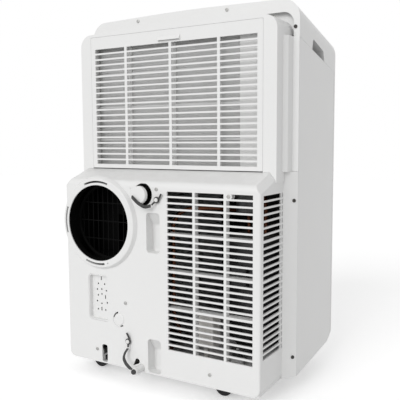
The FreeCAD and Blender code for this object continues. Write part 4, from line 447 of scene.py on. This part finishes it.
WHITE = (0.83, 0.83, 0.825)
# near-black painted shade for the inner faces of the shells and the bottoms of the collar's slots
PAINTED_SHADE = (0.012, 0.012, 0.012)
COLLAR_FACE_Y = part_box("exhaust_collar")[1][1]
# the depths between which the collar's slot bottoms get near-black painted shade
COLLAR_SLOT_SHADE = (COLLAR_FACE_Y - 7.5 * MM, COLLAR_FACE_Y - 3.0 * MM)  # bottoms of its slots and pin hole
PAINTS = {
    "case_white": moulded_plastic("case_white", WHITE, 0.34),
    # the shells' paint has near-black painted shade on its inner faces
    "shell_white": moulded_plastic("shell_white", WHITE, 0.34, shaded_inside=True),
    # the collar's paint has near-black painted shade at the bottoms of its slots and pin hole
    "collar_white": moulded_plastic("collar_white", WHITE, 0.34, slot_shade=COLLAR_SLOT_SHADE),
    "vane_white": moulded_plastic("vane_white", (0.80, 0.80, 0.79), 0.38),
    "button_white": moulded_plastic("button_white", (0.74, 0.74, 0.73), 0.30, dust=0.05),
    "stud_white": moulded_plastic("stud_white", (0.80, 0.80, 0.79), 0.32),
    "panel_grey": moulded_plastic("panel_grey", (0.42, 0.43, 0.44), 0.30, dust=0.08),
    "box_pale": moulded_plastic("box_pale", (0.66, 0.64, 0.61), 0.45, dust=0.3),
    "filter_grey": filament("filter_grey", (0.76, 0.76, 0.755)),
    "fan_grey": moulded_plastic("fan_grey", (0.06, 0.06, 0.062), 0.45, dust=0.5, shine=0.3),
    "guard_black": moulded_plastic("guard_black", (0.003, 0.003, 0.003), 0.6, dust=0.01, shine=0.08),
    "caster_black": moulded_plastic("caster_black", (0.007, 0.007, 0.0075), 0.42, grain=0.03, dust=0.04,
                                    scuff=0.5, shine=0.3),
    "display_dark": smoked_window("display_dark"),
    "board_green": circuit_board("board_green"),
    "strap_rubber": rubber("strap_rubber", (0.030, 0.030, 0.030), 0.62),
    "screw_steel": worn_metal("screw_steel", (0.085, 0.083, 0.081), 0.55, brushed=(1, 1, 6)),
    "screw_zinc": worn_metal("screw_zinc", (0.52, 0.52, 0.51), 0.42, brushed=(1, 1, 6)),
    "fin_aluminium": worn_metal("fin_aluminium", (0.62, 0.63, 0.64), 0.36, brushed=(8, 8, 1)),
    "pipe_copper": worn_metal("pipe_copper", (0.19, 0.070, 0.038), 0.50, tarnish=(0.020, 0.011, 0.008),
                              amount=0.95),
    "motor_steel": painted_steel("motor_steel", (0.12, 0.12, 0.12), 0.45),
    "can_aluminium": worn_metal("can_aluminium", (0.10, 0.10, 0.102), 0.50, brushed=(1, 1, 9)),
    "compressor_black": painted_steel("compressor_black", (0.020, 0.020, 0.021), 0.38),
    "foam_white": foam("foam_white", (0.72, 0.72, 0.70)),
}

# ---------------------------------------------------------------- mouldings
SOFT_EDGES = {
    "rear_housing": 0.35, "rear_panel": 0.6, "filter_door": 0.35, "filter_frame": 0.4,
    "front_panel": 0.5, "side_panel_left": 0.6, "side_panel_right": 0.6, "base_pan": 0.6,
    "handle_cups": 0.5, "exhaust_collar": 0.5, "plug_dock": 0.4, "blanking_plug": 0.4,
    "drain_port": 0.4, "drain_cap": 0.5, "outlet_frame": 0.5, "louver_flap": 0.8, "control_panel": 0.4,
    "strap_studs": 0.3, "strap_eyes": 0.3, "drip_tray": 0.6, "terminal_box": 0.8, "display_window": 0.3,
}
# the collar's own paint has painted shade at the bottoms of its slots
OWN_FINISH = {"exhaust_collar": "collar_white"}
SHELLS = ("rear_housing", "rear_panel", "side_panel_left", "side_panel_right", "front_panel", "top_cover")
MADE_ANEW = ("drain_cap_strap", "drain_plug_strap", "filter_mesh", "evaporator_coil", "condenser_coil",
             "case_screws")    # made below in ways of their own


def mouldings():
    """Every rigid part as one closed skin, the moulded ones with softened edges."""
    for part in frame["record"]["subparts"]:
        node = part["node"]
        slot = part["material_slot"]
        if node in MADE_ANEW:
            continue
        piece = copy_of(node)
        width = SOFT_EDGES.get(node)
        if width:
            soften(piece, width * MM)
        smooth(piece)
        if width:
            apply(piece, "WEIGHTED_NORMAL", keep_sharp=True)
        # the shells take the paint with painted shade on their inner faces
        paint = "shell_white" if node in SHELLS else OWN_FINISH.get(node, slot)
        finish(piece, paint, frame["nodes"][node]["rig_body"], node)


# ---------------------------------------------------------------- straps, net and coils
STRAP_CUTS = 18            # sections of a strap between its closure and its eye, parted by cross cuts
STRAP_EDGE = 0.45 * MM
NET_PITCH = 1.10 * MM
FILAMENT_R = 0.34 * MM
FILAMENT_SIDES = 6
FILAMENT_EDGE = 0.3 * FILAMENT_R
LAYER_SHIFT = 0.05 * MM    # each layer of the net off its middle
FIN_PITCH = 2.0 * MM
FIN_T = 0.15 * MM
FIN_WAVES = 6
FIN_WAVE = 0.35 * MM
BEND_REACH = 9.7 * MM      # hairpin bends beyond the finned block
CONDENSER_H = 340.0 * MM   # finned block above its feet
FACE_SLACK = 0.02 * MM     # faces this near the finned block are part of it


def flat_strap(node, start, end):
    """Rubber strap between its closure and its eye: rounded edges and a row of cross cuts."""
    piece = copy_of(node)
    soften(piece, STRAP_EDGE, segments=2)
    start = Vector(start)
    end = Vector(end)
    for i in range(1, STRAP_CUTS):
        open_all(piece)
        bpy.ops.mesh.bisect(plane_co=start.lerp(end, i / STRAP_CUTS), plane_no=(end - start).normalized())
        close()
    smooth(piece, angle=40)
    dress(piece, "strap_rubber")
    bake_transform(piece)
    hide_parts(node)


def straps():
    for node, closure in (("drain_cap_strap", "drain_cap"), ("drain_plug_strap", "drain_plug")):
        low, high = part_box(node)
        towards_eye = closure == "drain_cap"
        start = (high.x if towards_eye else low.x, high.y, high.z if towards_eye else low.z)
        end = (low.x if towards_eye else high.x, low.y, low.z if towards_eye else high.z)
        flat_strap(node, start, end)


def filaments(name, middle, length, along, pitch, count):
    """One filament along an axis, then the whole layer of them side by side."""
    turn = (0, math.pi / 2, 0) if along == "x" else (0, 0, 0)
    bpy.ops.mesh.primitive_cylinder_add(
        vertices=FILAMENT_SIDES, radius=FILAMENT_R, depth=length, location=middle, rotation=turn)
    piece = settle(bpy.context.active_object, name)
    soften(piece, FILAMENT_EDGE, segments=1, angle=80)
    step = (0, 0, pitch) if along == "x" else (pitch, 0, 0)
    apply(piece, "ARRAY", count=count, use_relative_offset=False, use_constant_offset=True,
          constant_offset_displace=step)
    smooth(piece, angle=70)
    return piece


def filter_net():
    """Extruded net of the air filter: upright filaments with level ones fused across them."""
    low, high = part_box("filter_mesh")
    centre = (low + high) / 2
    size = high - low
    edge = FILAMENT_R * 2
    across = int((size.x - edge) / NET_PITCH)
    up = int((size.z - edge) / NET_PITCH)
    first = (low.x + edge, centre.y - LAYER_SHIFT, centre.z)
    upright = filaments("net_upright", first, size.z, "z", (size.x - 2 * edge) / across, across + 1)
    first = (centre.x, centre.y + LAYER_SHIFT, low.z + edge)
    level = filaments("net_level", first, size.x, "x", (size.z - 2 * edge) / up, up + 1)
    only(upright, level)
    bpy.ops.object.join()
    level.name = "filter_net"
    finish(level, "filter_grey", "filter_door", "filter_mesh")


def fins(name, low, high, along):
    """Waved fin plates side by side through a coil."""
    axis, run = (0, 1) if along == "x" else (1, 0)
    size = high - low
    depth = size[run]
    turn = (math.pi / 2, 0, math.pi / 2 if along == "x" else 0)
    first = [(low[i] + high[i]) / 2 for i in range(3)]
    first[axis] = low[axis] + FIN_WAVE + FIN_T
    bpy.ops.mesh.primitive_grid_add(x_subdivisions=FIN_WAVES, y_subdivisions=1, size=1, location=first,
                                    rotation=turn)
    piece = bpy.context.active_object
    piece.scale = (depth, size.z, 1)
    settle(piece, name)
    for corner in piece.data.vertices:
        column = round((corner.co[run] - low[run]) / (depth / FIN_WAVES))
        corner.co[axis] += FIN_WAVE * (1 if column % 2 else -1)
    apply(piece, "SOLIDIFY", thickness=FIN_T, offset=0.0)
    room = size[axis] - 2 * (FIN_WAVE + FIN_T)
    count = int(room / FIN_PITCH)
    step = [0, 0, 0]
    step[axis] = room / count
    apply(piece, "ARRAY", count=count + 1, use_relative_offset=False, use_constant_offset=True,
          constant_offset_displace=step)
    smooth(piece, angle=50)
    return piece


def cut_away(piece, low, high):
    """Takes the faces between two corners out of a piece and closes the holes that they leave."""
    open_all(piece)
    bpy.ops.mesh.select_mode(type="FACE")
    bpy.ops.mesh.select_all(action="DESELECT")
    close()
    for face in piece.data.polygons:
        face.select = all(low[i] - FACE_SLACK < face.center[i] < high[i] + FACE_SLACK for i in range(3))
    bpy.ops.object.mode_set(mode="EDIT")
    bpy.ops.mesh.delete(type="FACE")
    bpy.ops.mesh.select_all(action="SELECT")
    bpy.ops.mesh.fill_holes(sides=0)
    close()


def coil(node, along, core_low, core_high):
    """Coil as a pack of fins, with the copper bends and the feet that stand out of it."""
    name = node.replace("_coil", "")
    finish(fins(name + "_fins", core_low, core_high, along), "fin_aluminium", "cabinet", node)
    piece = copy_of(node, name + "_bends")
    cut_away(piece, core_low, core_high)
    smooth(piece)
    finish(piece, "pipe_copper", "cabinet", node)


def coils():
    low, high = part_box("evaporator_coil")
    reach = Vector((BEND_REACH, 0, 0))
    coil("evaporator_coil", "x", low + reach, high - reach)
    low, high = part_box("condenser_coil")
    reach = Vector((0, BEND_REACH, 0))
    low.z = high.z - CONDENSER_H
    coil("condenser_coil", "y", low + reach, high - reach)


def screws():
    """Each screw as a piece of its own: dark ones in the edges, zinc-plated ones in the rear faces."""
    group = copy_of("case_screws")
    open_all(group)
    bpy.ops.mesh.separate(type="LOOSE")
    close()
    heads = list(bpy.context.selected_objects)
    heads.sort(key=lambda head: tuple(round(value, 4) for value in head.data.vertices[0].co))
    for number, head in enumerate(heads, 1):
        head.name = f"case_screw_{number}"
        smooth(head)
        centre = sum((corner.co for corner in head.data.vertices), Vector()) / len(head.data.vertices)
        plated = abs(centre.x) < EDGE_SCREW_X
        finish(head, "screw_zinc" if plated else "screw_steel", "cabinet", "case_screws")


# ---------------------------------------------------------------- floor, light and camera
def floor():
    """White ground that glows to the camera and still takes the shadow."""
    bpy.ops.mesh.primitive_plane_add(size=FLOOR_SIZE)
    ground = settle(bpy.context.active_object, "floor")
    paint = new_paint("floor_white")
    shade = paint.node("ShaderNodeBsdfDiffuse", inputs={"Color": (FLOOR_WHITE,) * 3})
    glow = paint.node("ShaderNodeEmission", inputs={"Color": (1.0, 1.0, 1.0), "Strength": FLOOR_GLOW})
    dark = paint.node("ShaderNodeEmission", inputs={"Strength": 0.0})
    lit = paint.node("ShaderNodeMixShader", inputs={0: paint.seen(), 1: dark, 2: glow})
    both = paint.node("ShaderNodeAddShader", inputs={0: shade, 1: lit})
    ground.data.materials.append(paint.end("ShaderNodeOutputMaterial", both))


def light():
    """Even soft light all round, a white background, and a broad soft key from behind the unit."""
    world = bpy.data.worlds.new("studio")
    bpy.context.scene.world = world
    paint = Paint(world)
    soft, white = [paint.node("ShaderNodeBackground", inputs={"Color": (1.0, 1.0, 1.0), "Strength": level})
                   for level in (WORLD_LEVEL, WHITE_LEVEL)]
    mix = paint.node("ShaderNodeMixShader", inputs={0: paint.seen(), 1: soft, 2: white})
    paint.end("ShaderNodeOutputWorld", mix)
    bpy.ops.object.light_add(type="SUN", location=Vector(KEY_TOWARDS) * KEY_REACH)
    key = bpy.context.active_object
    key.rotation_euler = Vector(KEY_TOWARDS).to_track_quat("Z", "Y").to_euler()
    key.data.energy = KEY_LEVEL
    key.data.angle = math.radians(KEY_SOFTNESS)


def camera():
    turn = Matrix.Rotation(math.radians(CAMERA_TURN), 4, "Z")
    dip = Matrix.Rotation(math.radians(90 - CAMERA_DIP), 4, "X")
    roll = Matrix.Rotation(math.radians(CAMERA_ROLL), 4, "Z")
    bpy.ops.object.camera_add(location=CAMERA_PLACE, rotation=(turn @ dip @ roll).to_euler())
    made = bpy.context.active_object
    made.data.lens = CAMERA_LENS
    bpy.context.scene.camera = made
    bpy.context.scene.view_settings.view_transform = "Standard"


mouldings()
straps()
filter_net()
coils()
screws()
floor()
light()
camera()
